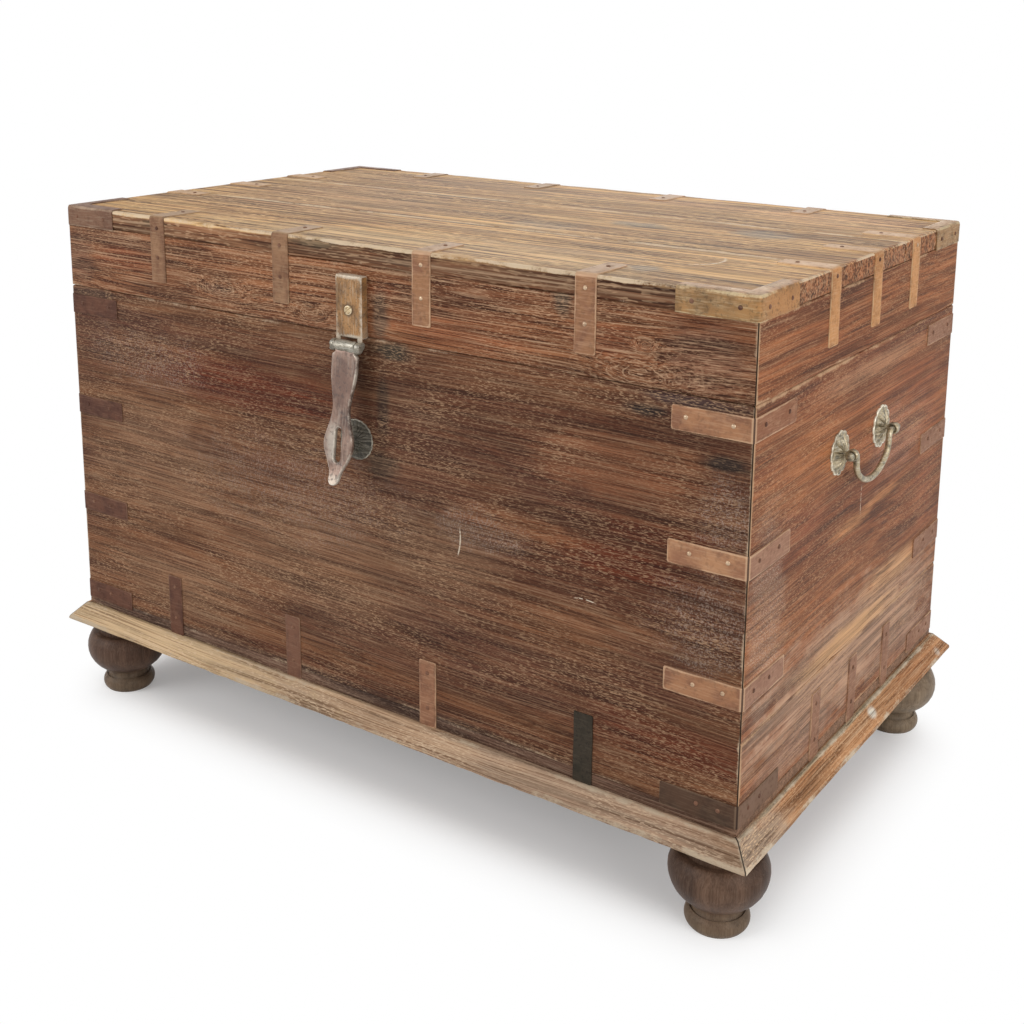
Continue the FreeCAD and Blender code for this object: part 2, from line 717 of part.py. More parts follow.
def hinge_leaf(x, low, high, narrow_at_top):
    """A flat leaf on the back face whose far end narrows."""
    half = hinge_width / 2
    tip = half - hinge_leaf_taper
    low_half, high_half = (half, tip) if narrow_at_top else (tip, half)
    points = [
        vector(x - low_half, half_depth, low), vector(x + low_half, half_depth, low),
        vector(x + high_half, half_depth, high), vector(x - high_half, half_depth, high),
    ]
    return Part.Face(Part.makePolygon(points + points[:1])).extrude(vector(0, hinge_leaf_thickness, 0))


def make_hinges():
    """Two strap hinges: a barrel in three parts on a pin. The middle part belongs to the lid."""
    across = vector(1, 0, 0)
    half_play = side_play / 2
    reach = hinge_barrel_radius + side_play
    back = half_depth + hinge_leaf_thickness + overrun

    def notch(x_low, x_high):
        return block(x_low, x_high, 0, back, hinge_axis.z - reach, hinge_axis.z + reach)

    lower_leaves = []
    upper_leaves = []
    pins = []
    for sign in (-1, 1):
        centre = hinge_axis + across * sign * (half_width - hinge_from_end)
        low, first, second, high = [centre + across * hinge_width * (share / 3 - 1 / 2) for share in range(4)]
        bore = rod(low - across * overrun, high + across * overrun, hinge_pin_radius + pin_clearance)
        lower = hinge_leaf(centre.x, seam_height - hinge_lower_leaf, centre.z, False)
        lower = lower.cut(notch(first.x - half_play, second.x + half_play))
        lower = lower.fuse(rod(low, first - across * half_play, hinge_barrel_radius))
        lower = lower.fuse(rod(second + across * half_play, high, hinge_barrel_radius))
        upper = hinge_leaf(centre.x, centre.z, seam_height + hinge_upper_leaf, True)
        upper = upper.cut(notch(low.x - overrun, first.x + half_play))
        upper = upper.cut(notch(second.x - half_play, high.x + overrun))
        upper = upper.fuse(rod(first + across * half_play, second - across * half_play, hinge_barrel_radius))
        lower_leaves.append(lower.cut(bore))
        upper_leaves.append(upper.cut(bore))
        pins.append(rod(low, high, hinge_pin_radius))
    pieces["hinge_lower_leaves"] = Part.makeCompound(lower_leaves)
    pieces["hinge_upper_leaves"] = Part.makeCompound(upper_leaves)
    pieces["hinge_pins"] = Part.makeCompound(pins)


def main():
    carcass_block = eased_block(chest_width, chest_depth, plinth_top, carcass_top, edge_chamfer, False)
    lid_block = eased_block(chest_width, chest_depth, seam_height, lid_top, edge_chamfer, True)
    make_plinth()
    make_feet()
    make_carcass(carcass_block)
    make_carcass_straps(carcass_block)
    make_lid(lid_block)
    make_lid_straps(lid_block)
    make_hasp()
    make_staple()
    make_handles()
    make_hinges()
    os.makedirs("parts", exist_ok=True)
    for name, shape in pieces.items():
        shape.translated(centre_shift).exportStep("parts/" + name + ".step")


main()
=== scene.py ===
"""A damchiya chest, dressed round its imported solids.

Metres. X runs along the front, Y from the front to the back and Z up. Every mesh is worked out with numpy, as
a surface of two parameters or a profile carried along a path, and its place is in its points.
"""
import logging
import math
from collections.abc import Iterator
from dataclasses import dataclass, field, replace
from enum import Enum

import bpy
import numpy as np
from mathutils import Matrix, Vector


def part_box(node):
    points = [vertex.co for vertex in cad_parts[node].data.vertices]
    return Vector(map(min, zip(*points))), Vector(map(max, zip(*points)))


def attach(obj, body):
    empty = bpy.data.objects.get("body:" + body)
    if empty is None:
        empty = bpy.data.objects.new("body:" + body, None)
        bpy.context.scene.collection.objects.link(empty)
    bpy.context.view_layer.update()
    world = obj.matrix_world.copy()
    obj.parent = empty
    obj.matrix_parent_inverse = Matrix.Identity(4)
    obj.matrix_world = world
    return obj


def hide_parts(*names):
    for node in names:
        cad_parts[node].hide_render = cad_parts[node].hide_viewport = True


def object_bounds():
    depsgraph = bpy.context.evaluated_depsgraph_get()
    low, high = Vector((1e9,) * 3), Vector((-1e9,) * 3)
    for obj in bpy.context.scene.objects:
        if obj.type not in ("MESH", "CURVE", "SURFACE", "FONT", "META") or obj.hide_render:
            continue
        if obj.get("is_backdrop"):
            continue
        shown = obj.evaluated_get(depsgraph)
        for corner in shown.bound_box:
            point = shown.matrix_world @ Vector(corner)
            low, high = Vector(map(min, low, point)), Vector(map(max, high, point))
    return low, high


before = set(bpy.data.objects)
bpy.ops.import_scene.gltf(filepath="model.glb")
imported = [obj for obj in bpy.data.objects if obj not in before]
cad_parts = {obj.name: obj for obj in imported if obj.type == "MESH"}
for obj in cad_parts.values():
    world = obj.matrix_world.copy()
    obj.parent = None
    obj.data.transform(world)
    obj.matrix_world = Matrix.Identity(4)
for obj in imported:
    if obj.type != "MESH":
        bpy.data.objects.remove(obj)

Array = np.ndarray
Material = bpy.types.Material
Socket = bpy.types.NodeSocket
Tree = bpy.types.NodeTree
Colour = tuple[float, float, float]
Point = tuple[float, float, float]

START_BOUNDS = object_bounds()
MM = 0.001
EDGE_REACH = 15 * MM
FADE_STEPS = (5 * MM, 10 * MM, EDGE_REACH)
BARREL_SIDES = 28
STRAP_EDGE = 4 * MM
WAVY_EDGE = (0.3 * MM, 45 * MM)
HAMMERED = (0.16 * MM, 26 * MM)
log = logging.getLogger("chest")


class Side(Enum):
    """The four sides of the chest, as the direction that each faces."""

    FRONT = (0, -1)
    RIGHT = (1, 0)
    BACK = (0, 1)
    LEFT = (-1, 0)

    @property
    def outward(self) -> Array:
        """The direction that the side faces."""
        return np.array([self.value[0], self.value[1], 0.0])

    @property
    def along(self) -> Array:
        """The direction along the side, to the right for someone who faces it."""
        return np.array([-self.value[1], self.value[0], 0.0])

    @property
    def axis(self) -> int:
        """The axis that the side runs along: 0 for X and 1 for Y."""
        return abs(self.value[0])

    @property
    def label(self) -> str:
        """The side's name in small letters."""
        return self.name.lower()


UP = np.array([0.0, 0.0, 1.0])
EAST = np.array([1.0, 0.0, 0.0])


def box(node: str) -> tuple[Array, Array]:
    """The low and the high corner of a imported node."""
    low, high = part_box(node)
    return np.array(low), np.array(high)


# Meshes


@dataclass
class Surface:
    """A mesh in the making: its points, its faces by number of corners, and marks that the finishes read."""

    points: Array
    faces: list[Array]
    marks: dict[str, Array] = field(default_factory=dict)

    def outward(self) -> "Surface":
        """Turns the faces outward, by the sign of the volume that they enclose.

        Returns:
            The same surface.
        """
        volume = 0.0
        for group in self.faces:
            first = self.points[group[:, 0]]
            for index in range(1, group.shape[1] - 1):
                second = self.points[group[:, index]]
                third = self.points[group[:, index + 1]]
                volume += np.einsum("ij,ij->", first, np.cross(second, third))
        if volume < 0:
            self.faces = [group[:, ::-1] for group in self.faces]
        return self

    def hammered(self, amount: float, wavelength: float, seed: int) -> "Surface":
        """Shifts the points by smooth noise, along all three axes alike, and gives the same surface."""
        self.points += amount * ripple(self.points, wavelength, seed)[:, None]
        return self


def joined(parts: list[Surface]) -> Surface:
    """Puts several closed surfaces into one.

    Args:
        parts: the surfaces, in order.

    Returns:
        One surface. A mark that one of them lacks is zero there.
    """
    names = sorted({name for part in parts for name in part.marks})
    starts = np.cumsum([0] + [len(part.points) for part in parts[:-1]])
    faces = [group + start for part, start in zip(parts, starts) for group in part.faces]
    marks = {}
    for name in names:
        values = [part.marks.get(name, np.zeros(len(part.points))) for part in parts]
        marks[name] = np.concatenate(values)
    return Surface(np.concatenate([part.points for part in parts]), faces, marks)


def skin(rings: Array, marks: dict[str, Array] | None = None, closed: bool = False) -> Surface:
    """Joins rings of points, one after the other along a path, with four-cornered faces.

    Args:
        rings: points of shape (rings, points in a ring, 3). Each ring closes on itself.
        marks: values of shape (rings, points in a ring).
        closed: whether the last ring joins the first. Otherwise a flat face closes each end.

    Returns:
        A closed surface with its faces outward.
    """
    count, size = rings.shape[:2]
    index = np.arange(count * size).reshape(count, size)
    here = index if closed else index[:-1]
    ahead = np.roll(index, -1, axis=0) if closed else index[1:]
    quads = stack(here, np.roll(here, -1, axis=1), np.roll(ahead, -1, axis=1), ahead).reshape(-1, 4)
    faces = [quads]
    if not closed:
        faces += [index[:1, ::-1], index[-1:]]
    values = {name: value.reshape(-1) for name, value in (marks or {}).items()}
    return Surface(rings.reshape(-1, 3), faces, values).outward()


def stack(*parts: Array) -> Array:
    """Arrays side by side along a new last axis."""
    return np.stack(parts, axis=-1)


def ripple(points: Array, wavelength: float, seed: int) -> Array:
    """Smooth noise from about -1 to 1: the mean of plane waves with seeded directions, lengths and phases.

    Args:
        points: places, with their coordinates along the last axis.
        wavelength: the middle length of the waves.
        seed: chooses the waves.

    Returns:
        One value for each place.
    """
    random = np.random.default_rng(seed)
    count = 12
    directions = random.normal(size=(count, points.shape[-1]))
    directions /= np.linalg.norm(directions, axis=1, keepdims=True)
    lengths = wavelength * random.uniform(0.6, 1.8, size=(count, 1))
    phases = random.uniform(0, 2 * math.pi, count)
    waves = np.sin(points @ (2 * math.pi * directions / lengths).T + phases)
    return waves.sum(axis=-1) / math.sqrt(2 * count)


def smooth(value: Array, low: float, high: float) -> Array:
    """A smooth step from 0 at low to 1 at high."""
    share = np.clip((value - low) / (high - low), 0, 1)
    return share * share * (3 - 2 * share)


def stations(length: float, step: float, ease: float) -> Array:
    """Places along a run, close together where its ends are rounded.

    Args:
        length: the length of the run.
        step: the distance of places in its middle.
        ease: the rounding of the ends.

    Returns:
        Rising distances from 0 to the length.
    """
    near = ease * np.array([0, 0.08, 0.3, 0.62, 1.0])
    near = np.concatenate([near, [x for x in FADE_STEPS if x > ease and x < length / 3]])
    middle = np.linspace(near[-1], length - near[-1], max(2, int(length / step)))
    return np.unique(np.concatenate([near, middle, length - near]))


def end_inset(place: Array, length: float, ease: float) -> Array:
    """How far a section draws in near the ends of a run, so that the ends are rounded by a quarter circle."""
    distance = np.minimum(place, length - place)
    share = np.clip(1 - distance / ease, 0, 1)
    return ease * (1 - np.sqrt(1 - share ** 2))


@dataclass(frozen=True)
class Seat:
    """A local frame on one side of the chest: along the side, inward from its face, and up."""

    origin: Array
    side: Side
    length: float
    depth: float
    height: float

    @classmethod
    def of_node(cls, node: str, side: Side) -> "Seat":
        """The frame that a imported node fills.

        Args:
            node: the node's name.
            side: the way that the frame looks.

        Returns:
            A frame with its origin at the bottom middle of the node's outer face.
        """
        low, high = box(node)
        middle = (low + high) / 2
        half = (high - low) / 2
        outward = side.outward
        origin = middle + outward * abs(half @ outward) - UP * half[2]
        return cls(origin, side, 2 * abs(half @ side.along), 2 * abs(half @ outward), 2 * half[2])

    def world(self, along: Array, inward: Array, up: Array) -> Array:
        """Points from distances along the side, inward from its face and up."""
        return (
            self.origin
            + along[..., None] * self.side.along
            - inward[..., None] * self.side.outward
            + up[..., None] * UP
        )


@dataclass(frozen=True)
class Worn:
    """How worn a board's edges are: its rounding, how much that varies, and how deep its chips are."""

    ease: float = 1.6 * MM
    vary: float = 0.6
    chip: float = 1.5 * MM
    sway: float = 0.25 * MM
    mitre_wear: float = 1.3


def rounded_profile(corners: Array) -> tuple[Array, Array, Array]:
    """A polygon with rounded corners, as base points and how they draw back per unit of rounding.

    Each corner is a quadratic curve between the points where the rounding starts and ends. Further points
    follow each edge at a few distances from its corners, so that wear can fade away from them.

    Args:
        corners: the polygon's corners, of shape (corners, 2).

    Returns:
        Base points, the draw-back of each for a rounding of 1, and their distance from the nearest corner.
    """
    base, draw, distance = [], [], []
    count = len(corners)
    for index in range(count):
        corner = corners[index]
        before = corner - corners[index - 1]
        after = corners[(index + 1) % count] - corner
        span = np.linalg.norm(after)
        before, after = before / np.linalg.norm(before), after / span
        for share in (0.0, 0.25, 0.5, 0.75, 1.0):
            base.append(corner)
            draw.append(share ** 2 * after - (1 - share) ** 2 * before)
            distance.append(0.0)
        marks = [x for x in FADE_STEPS if x < span / 2 - 1 * MM]
        marks += [span - x for x in reversed(marks)]
        for reach in marks:
            base.append(corner + after * reach)
            draw.append(np.zeros(2))
            distance.append(min(reach, span - reach))
    return np.array(base), np.array(draw), np.array(distance)


def beam(seat: Seat, corners: Array, mitre: float, worn: Worn, seed: int, step: float = 5 * MM) -> Surface:
    """A board: a rounded profile carried along one side of the chest.

    Args:
        seat: the frame that it lies in.
        corners: the profile, as distances inward and up.
        mitre: 1 for ends mitred at 45 degrees, 0 for square ends.
        worn: how worn its edges are.
        seed: chooses the wear.
        step: the distance between sections.

    Returns:
        A surface with marks: edge, 1 on its edges and 0 a little way in, flank, 0 on its top face only, and
        joint, 1 at a mitre.
    """
    base, draw, distance = rounded_profile(corners)
    run = stations(seat.length, step, worn.ease)
    places = stack(*np.broadcast_arrays(run[:, None], base[None, :, 0] * 3, base[None, :, 1]))
    rounding = worn.ease * (1 + worn.vary * ripple(places, 60 * MM, seed))
    rounding = rounding + worn.chip * smooth(ripple(places, 38 * MM, seed + 1), 0.85, 1.5)
    rounding = np.clip(rounding, 0.3 * MM, 4.5 * MM)
    section = base[None] + draw[None] * rounding[..., None]
    middle = corners.mean(axis=0)
    reach = np.abs(corners - middle).max(axis=0)
    inset = end_inset(run, seat.length, worn.ease)
    section = middle + (section - middle) * (1 - inset[:, None, None] / reach)
    section = section + (draw != 0) * worn.sway * ripple(places, 180 * MM, seed + 2)[..., None] * 0.5
    inward, up = section[..., 0], section[..., 1]
    share = run[:, None] / seat.length
    along = (share - 0.5) * (seat.length - 2 * mitre * inward)
    end = np.minimum(run, seat.length - run)[:, None]
    edge = 1 - np.clip(np.minimum(distance[None], end) / EDGE_REACH, 0, 1)
    edge = edge * ((end > 0.01 * MM) | (mitre > 0))
    joint = np.broadcast_to(1 - np.clip(end / (1.6 * MM), 0, 1), edge.shape) * mitre
    edge = np.maximum(edge, worn.mitre_wear * mitre * (1 - np.clip(end / (0.6 * EDGE_REACH), 0, 1)))
    flank = ((base[None, :, 1] < corners[:, 1].max() - 0.1 * MM) | (end < 0.01 * MM)).astype(float)
    return skin(seat.world(along, inward, up), {"edge": edge, "flank": flank, "joint": joint})


def block(seat: Seat, mitre: float, worn: Worn, seed: int, step: float = 5 * MM) -> Surface:
    """A board with a rectangular profile that fills its frame.

    Args:
        seat: the frame.
        mitre: 1 for ends mitred at 45 degrees, 0 for square ends.
        worn: how worn its edges are.
        seed: chooses the wear.
        step: the distance between sections.

    Returns:
        A surface with marks.
    """
    corners = np.array([[0, 0], [seat.depth, 0], [seat.depth, seat.height], [0, seat.height]])
    return beam(seat, corners, mitre, worn, seed, step)


def turn_round(first: Array, second: Array, count: int) -> Array:
    """Directions all round a circle: a cosine of one and a sine of the other.

    Args:
        first: the direction at angle zero.
        second: the direction a quarter turn on.
        count: how many directions.

    Returns:
        Directions, of shape (count, 3).
    """
    angle = np.linspace(0, 2 * math.pi, count, endpoint=False)
    return np.cos(angle)[:, None] * first + np.sin(angle)[:, None] * second


def tube(path: Array, radii: Array, reference: Array, sides: int) -> Surface:
    """A round bar: a circle at each point of a flat path, square to it.

    Args:
        path: the centre line, of shape (points, 3).
        radii: the radius at each point.
        reference: the direction square to the path's plane.
        sides: points in each circle.

    Returns:
        A closed surface.
    """
    tangent = np.gradient(path, axis=0)
    tangent /= np.linalg.norm(tangent, axis=1, keepdims=True)
    level = np.cross(tangent, reference)
    level /= np.linalg.norm(level, axis=1, keepdims=True)
    angle = np.linspace(0, 2 * math.pi, sides, endpoint=False)
    circle = np.cos(angle)[None, :, None] * reference + np.sin(angle)[None, :, None] * level[:, None]
    return skin(path[:, None] + circle * radii[:, None, None])


def barrel(start: Array, end: Array, radius: float, ease: float) -> Surface:
    """A short round bar with rounded ends.

    Args:
        start: the middle of one end.
        end: the middle of the other.
        radius: the bar's radius.
        ease: the rounding of its ends.

    Returns:
        A closed surface.
    """
    length = np.linalg.norm(end - start)
    run = stations(length, length / 3, ease)
    direction = (end - start) / length
    reference = np.cross(direction, UP if abs(direction[2]) < 0.9 else EAST)
    reference /= np.linalg.norm(reference)
    path = start + run[:, None] * direction
    return tube(path, radius - end_inset(run, length, ease), reference, BARREL_SIDES)


def lathe(profile: Array, centre: Array, axis: Array, sides: int, closed: bool = False) -> Surface:
    """A turned piece: an outline carried round an axis.

    Args:
        profile: radii and heights, of shape (points, 2).
        centre: the point on the axis at height zero.
        axis: the direction of height.
        sides: points round the axis.
        closed: whether the outline closes on itself, as a ring's does.

    Returns:
        A closed surface.
    """
    first = np.cross(axis, np.array([0.3, 0.5, 0.81]))
    first /= np.linalg.norm(first)
    circle = turn_round(first, np.cross(axis, first), sides)
    rings = centre + profile[:, None, :1] * circle[None] + profile[:, None, 1:] * axis
    return skin(rings, closed=closed)


def normals(loop: Array) -> Array:
    """Directions out of a closed outline in its plane, whose points go right along its top."""
    tangent = np.roll(loop, -1, axis=0) - np.roll(loop, 1, axis=0)
    tangent /= np.linalg.norm(tangent, axis=1, keepdims=True) + 1e-12
    return stack(tangent[:, 1], -tangent[:, 0])


def arc_points(centre: Point, radius: float, start: float, end: float, count: int) -> Array:
    """Points on an arc in a plane, with its angles in degrees."""
    angle = np.radians(np.linspace(start, end, count))
    return stack(centre[0] + radius * np.cos(angle), centre[1] + radius * np.sin(angle))


def fold(corner: Array, face: Array, other: Array, legs: tuple[float, float], ring: Array, radius: float,
         seed: int, tip: float = 0.0) -> Surface:
    """Sheet metal bent round an edge of the chest: a section carried along one face, round the edge and on.

    A point of the section that lies outside the face goes round the edge on a larger circle. One that lies
    inside it meets the other leg on the mitre.

    Args:
        corner: the point of the edge at the section's middle.
        face: the direction that the first leg faces.
        other: the direction that the second leg faces.
        legs: how far each leg reaches from the edge.
        ring: the section, as distances out from the face and along the edge.
        radius: the rounding of the edge.
        seed: chooses the unevenness.
        tip: the rounding of the free ends' corners.

    Returns:
        A surface with marks: edge, and second_leg, which rises from 0 to 1 in the bend.
    """
    if np.cross(face, other)[2] < 0:
        face, other, legs = other, face, legs[::-1]
    across = np.cross(face, other)
    out, reach = ring[:, 0], ring[:, 1]
    flat = np.concatenate([[0, 0.004, 0.012, 0.03, 0.06, 0.1], np.linspace(0.16, 1, 12)])
    rows = []
    for direction, leg, turned in ((face, legs[0], other), (other, legs[1], face)):
        run = leg + flat[:, None] * (np.maximum(radius, -out)[None] - leg)
        rows.append(corner - run[..., None] * turned + out[None, :, None] * direction)
    angle = np.linspace(0, math.pi / 2, 7)[1:-1, None, None]
    centre = corner - radius * (face + other)
    bend = np.maximum(radius + out, 0)[None, :, None] * (np.cos(angle) * face + np.sin(angle) * other)
    bend = centre + bend + np.minimum(radius + out, 0)[None, :, None] * (face + other)
    rings = np.concatenate([rows[0], bend, rows[1][::-1]])
    ends = np.concatenate([flat * legs[0], np.full(len(angle), legs[0]), (flat * legs[1])[::-1]])
    half = (reach.max() - reach.min()) / 2
    inset = np.zeros(len(rings))
    if tip:
        inset = tip * (1 - np.sqrt(1 - np.clip(1 - ends / tip, 0, 1) ** 2))
    width = reach[None] * (1 - inset[:, None] / half)
    width = width + WAVY_EDGE[0] * ripple(rings, WAVY_EDGE[1], seed) * (np.abs(reach)[None] > half * 0.9)
    rings = rings + width[..., None] * across
    lift = HAMMERED[0] * ripple(rings, HAMMERED[1], seed + 1) * (out > 0.2 * MM)[None]
    normal = np.concatenate([
        np.tile(face, (len(flat), 1)), np.tile((face + other) / math.sqrt(2), (len(angle), 1)),
        np.tile(other, (len(flat), 1))
    ])
    rings = rings + lift[..., None] * normal[:, None]
    edge = 1 - np.clip(np.minimum((half - np.abs(reach))[None], ends[:, None]) / STRAP_EDGE, 0, 1)
    leg = np.concatenate([np.zeros(len(flat)), np.linspace(0.14, 0.86, len(angle)), np.ones(len(flat))])
    return skin(rings, {"edge": edge, "second_leg": np.broadcast_to(leg[:, None], edge.shape)})


def strip_ring(width: float, thickness: float, ease: float) -> Array:
    """The section of a flat strap, as distances out and across: its outer corners are rounded."""
    half = width / 2
    side = [(-0.1 * MM, -half), (thickness - ease, -half), (thickness - 0.3 * ease, -half + 0.3 * ease)]
    side += [(thickness, -half + ease), (thickness, -half + 4 * MM)]
    other = [(out, -across) for out, across in reversed(side)]
    return np.array(side + other)


def flat_strip(
    place: Array, outward: Array, lengthwise: Array, length: float, ring: Array, seed: int, tip: float
) -> Surface:
    """A straight strap on a flat face: a section carried along it.

    Args:
        place: the middle of its first end, on the face.
        outward: the direction that the face looks.
        lengthwise: the direction that it runs.
        length: its length.
        ring: the section, as distances out and across.
        seed: chooses the unevenness.
        tip: the rounding of its ends' corners.

    Returns:
        A surface with an edge mark.
    """
    across = np.cross(outward, lengthwise)
    run = stations(length, 5 * MM, tip)
    half = np.abs(ring[:, 1]).max()
    inset = end_inset(run, length, tip)
    width = ring[None, :, 1] * (1 - inset[:, None] / half)
    rings = place + run[:, None, None] * lengthwise + np.zeros((1, len(ring), 1))
    width = width + WAVY_EDGE[0] * ripple(rings, WAVY_EDGE[1], seed) * (np.abs(ring[:, 1])[None] > half * 0.9)
    lift = HAMMERED[0] * ripple(rings + width[..., None], HAMMERED[1], seed + 1) * (ring[:, 0] > 0.2 * MM)
    out = ring[None, :, 0] + lift
    rings = rings + width[..., None] * across + out[..., None] * outward
    end = np.minimum(run, length - run)
    edge = 1 - np.clip(np.minimum((half - np.abs(ring[:, 1]))[None], end[:, None]) / STRAP_EDGE, 0, 1)
    return skin(rings, {"edge": edge})


def plate(outline: Array, place: Array, right: Array, up: Array, thickness: float, ease: float) -> Surface:
    """A flat plate from an outline that bulges outward everywhere.

    Args:
        outline: its points, as distances right and up.
        place: where the outline's origin lies, on the face that carries the plate.
        right: the outline's first direction.
        up: its second direction.
        thickness: how far the plate stands out.
        ease: the rounding of its edge.

    Returns:
        A surface with an edge mark.
    """
    outward = np.cross(right, up)
    middle = outline.mean(axis=0)
    reach = np.linalg.norm(outline - middle, axis=1, keepdims=True)
    rows = []
    for inset, height in (
        (0, 0), (0, thickness - ease), (0.3 * ease, thickness - 0.3 * ease), (ease, thickness),
        (4 * ease, thickness)
    ):
        drawn = middle + (outline - middle) * (1 - inset / reach)
        rows.append(place + drawn[:, :1] * right + drawn[:, 1:] * up + height * outward)
    edge = np.array([1, 1, 1, 1, 0.0])[:, None] * np.ones((1, len(outline)))
    return skin(np.array(rows), {"edge": edge})


def dome(place: Array, outward: Array, radius: float, height: float, sides: int = 12) -> Surface:
    """A nail's head: a low dome on a face."""
    angle = np.radians(np.array([0, 25, 50, 72]))
    profile = stack(radius * np.cos(angle), height * np.sin(angle))
    profile = np.concatenate([[[radius, -0.1 * MM]], profile])
    return lathe(profile, place, outward, sides)


# Finishes


class Graph:
    """A node tree with short ways to add and link its nodes.

    A value is a socket, a number, a place or a colour.
    """

    def __init__(self, tree: Tree) -> None:
        """Keeps a material's, a world's or a group's tree and empties it."""
        self.tree = tree
        tree.nodes.clear()

    def node(self, kind: str, **settings: object) -> bpy.types.Node:
        """Adds a node and sets its properties."""
        made = self.tree.nodes.new("ShaderNode" + kind)
        for name, value in settings.items():
            setattr(made, name, value)
        return made

    def feed(self, socket: Socket, value: object) -> None:
        """Links a socket to another's output, or gives it a plain value."""
        if isinstance(value, Socket):
            self.tree.links.new(value, socket)
        elif isinstance(value, tuple) and len(value) == 3 and socket.type == "RGBA":
            socket.default_value = (*value, 1.0)
        else:
            socket.default_value = value

    def result(self, made: bpy.types.Node, values: dict, output: int | str = 0) -> Socket:
        """Feeds a node's inputs, by number or by name, and gives one of its outputs."""
        for key, value in values.items():
            self.feed(made.inputs[key], value)
        return made.outputs[output]

    def math(self, operation: str, *values: object, clamp: bool = False) -> Socket:
        """A Math node's result."""
        return self.result(self.node("Math", operation=operation, use_clamp=clamp), dict(enumerate(values)))

    def times(self, first: object, second: object, clamp: bool = False) -> Socket:
        """A product."""
        return self.math("MULTIPLY", first, second, clamp=clamp)

    def plus(self, first: object, second: object) -> Socket:
        """A sum."""
        return self.math("ADD", first, second)

    def minus(self, first: object, second: object, clamp: bool = False) -> Socket:
        """A difference."""
        return self.math("SUBTRACT", first, second, clamp=clamp)

    def vector(self, operation: str, *values: object) -> Socket:
        """A Vector Math node's result: its number where it has one, else its vector."""
        output = "Value" if operation in ("LENGTH", "DISTANCE", "DOT_PRODUCT") else "Vector"
        return self.result(self.node("VectorMath", operation=operation), dict(enumerate(values)), output)

    def scaled(self, vector: object, scale: object) -> Socket:
        """A vector times a number."""
        return self.result(self.node("VectorMath", operation="SCALE"), {0: vector, 3: scale})

    def combined(self, *values: object) -> Socket:
        """A vector of separate parts."""
        return self.result(self.node("CombineXYZ"), dict(enumerate(values)))

    def step(
        self, value: object, low: float, high: float, to_low: float = 0.0, to_high: float = 1.0
    ) -> Socket:
        """A smooth step of a value between two others."""
        made = self.node("MapRange", interpolation_type="SMOOTHSTEP")
        return self.result(made, dict(enumerate((value, low, high, to_low, to_high))))

    def mix(self, share: object, first: object, second: object, blend: str = "MIX") -> Socket:
        """A mix of two colours."""
        made = self.node("Mix", data_type="RGBA", blend_type=blend, clamp_factor=True)
        return self.result(made, {0: share, 6: first, 7: second}, 2)

    def over(self, colour: object, layer: object, mask: object, strength: float) -> Socket:
        """A colour with another laid over it where a mask says."""
        return self.mix(self.times(mask, strength), colour, layer)

    def noise(self, vector: object, scale: float | Point, detail: float = 3.0, rough: float = 0.55) -> Socket:
        """A noise texture's value, at one scale or at one along each axis."""
        if isinstance(scale, tuple):
            vector, scale = self.vector("MULTIPLY", vector, scale), 1.0
        made = self.node("TexNoise", noise_dimensions="3D")
        return self.result(made, {"Vector": vector, "Scale": scale, "Detail": detail, "Roughness": rough})

    def mark(self, name: str) -> Socket:
        """A mark that the mesh holds at its points."""
        return self.node("Attribute", attribute_name=name).outputs["Fac"]

    def place(self) -> Socket:
        """The place on the piece, in its object's coordinates."""
        return self.node("TexCoord").outputs["Object"]

    def group(self, tree: Tree, **values: object) -> dict[str, Socket]:
        """Places a node group and gives its outputs. An underscore in an input's name stands for a space."""
        made = self.node("Group", node_tree=tree)
        for name, value in values.items():
            self.feed(made.inputs[name.replace("_", " ")], value)
        return made.outputs

    def shade(self, colour: object, rough: object, specular: float) -> bpy.types.Node:
        """A Principled shader with its colour, roughness and specular level."""
        shader = self.node("BsdfPrincipled")
        self.result(shader, {"Base Color": colour, "Roughness": rough, "Specular IOR Level": specular})
        return shader

    def bump(self, shader: bpy.types.Node, height: object, strength: float, depth: float) -> None:
        """Lets a shader's normal follow a height, and ends the material with it."""
        bump = self.node("Bump")
        normal = self.result(bump, {"Strength": strength, "Distance": depth, "Height": height})
        self.feed(shader.inputs["Normal"], normal)
        self.end("Material", shader)

    def end(self, kind: str, shader: bpy.types.Node) -> None:
        """Links a shader to the output of a material or a world."""
        self.feed(self.node("Output" + kind).inputs[0], shader.outputs[0])


class Group(Graph):
    """A shader node group with named inputs and outputs."""

    def __init__(
        self, name: str, vectors: tuple[str, ...], numbers: tuple[str, ...], results: tuple[str, ...]
    ) -> None:
        """Makes the group with its sockets.

        Args:
            name: the group's name.
            vectors: its vector inputs.
            numbers: its number inputs.
            results: its outputs, all numbers.
        """
        super().__init__(bpy.data.node_groups.new(name, "ShaderNodeTree"))
        for way, kind, labels in (
            ("INPUT", "Vector", vectors), ("INPUT", "Float", numbers), ("OUTPUT", "Float", results)
        ):
            for label in labels:
                self.tree.interface.new_socket(name=label, in_out=way, socket_type="NodeSocket" + kind)
        self.inside = self.tree.nodes.new("NodeGroupInput").outputs
        self.outside = self.tree.nodes.new("NodeGroupOutput").inputs

    def give(self, **values: object) -> None:
        """Feeds outputs by name."""
        for name, value in values.items():
            self.feed(self.outside[name], value)


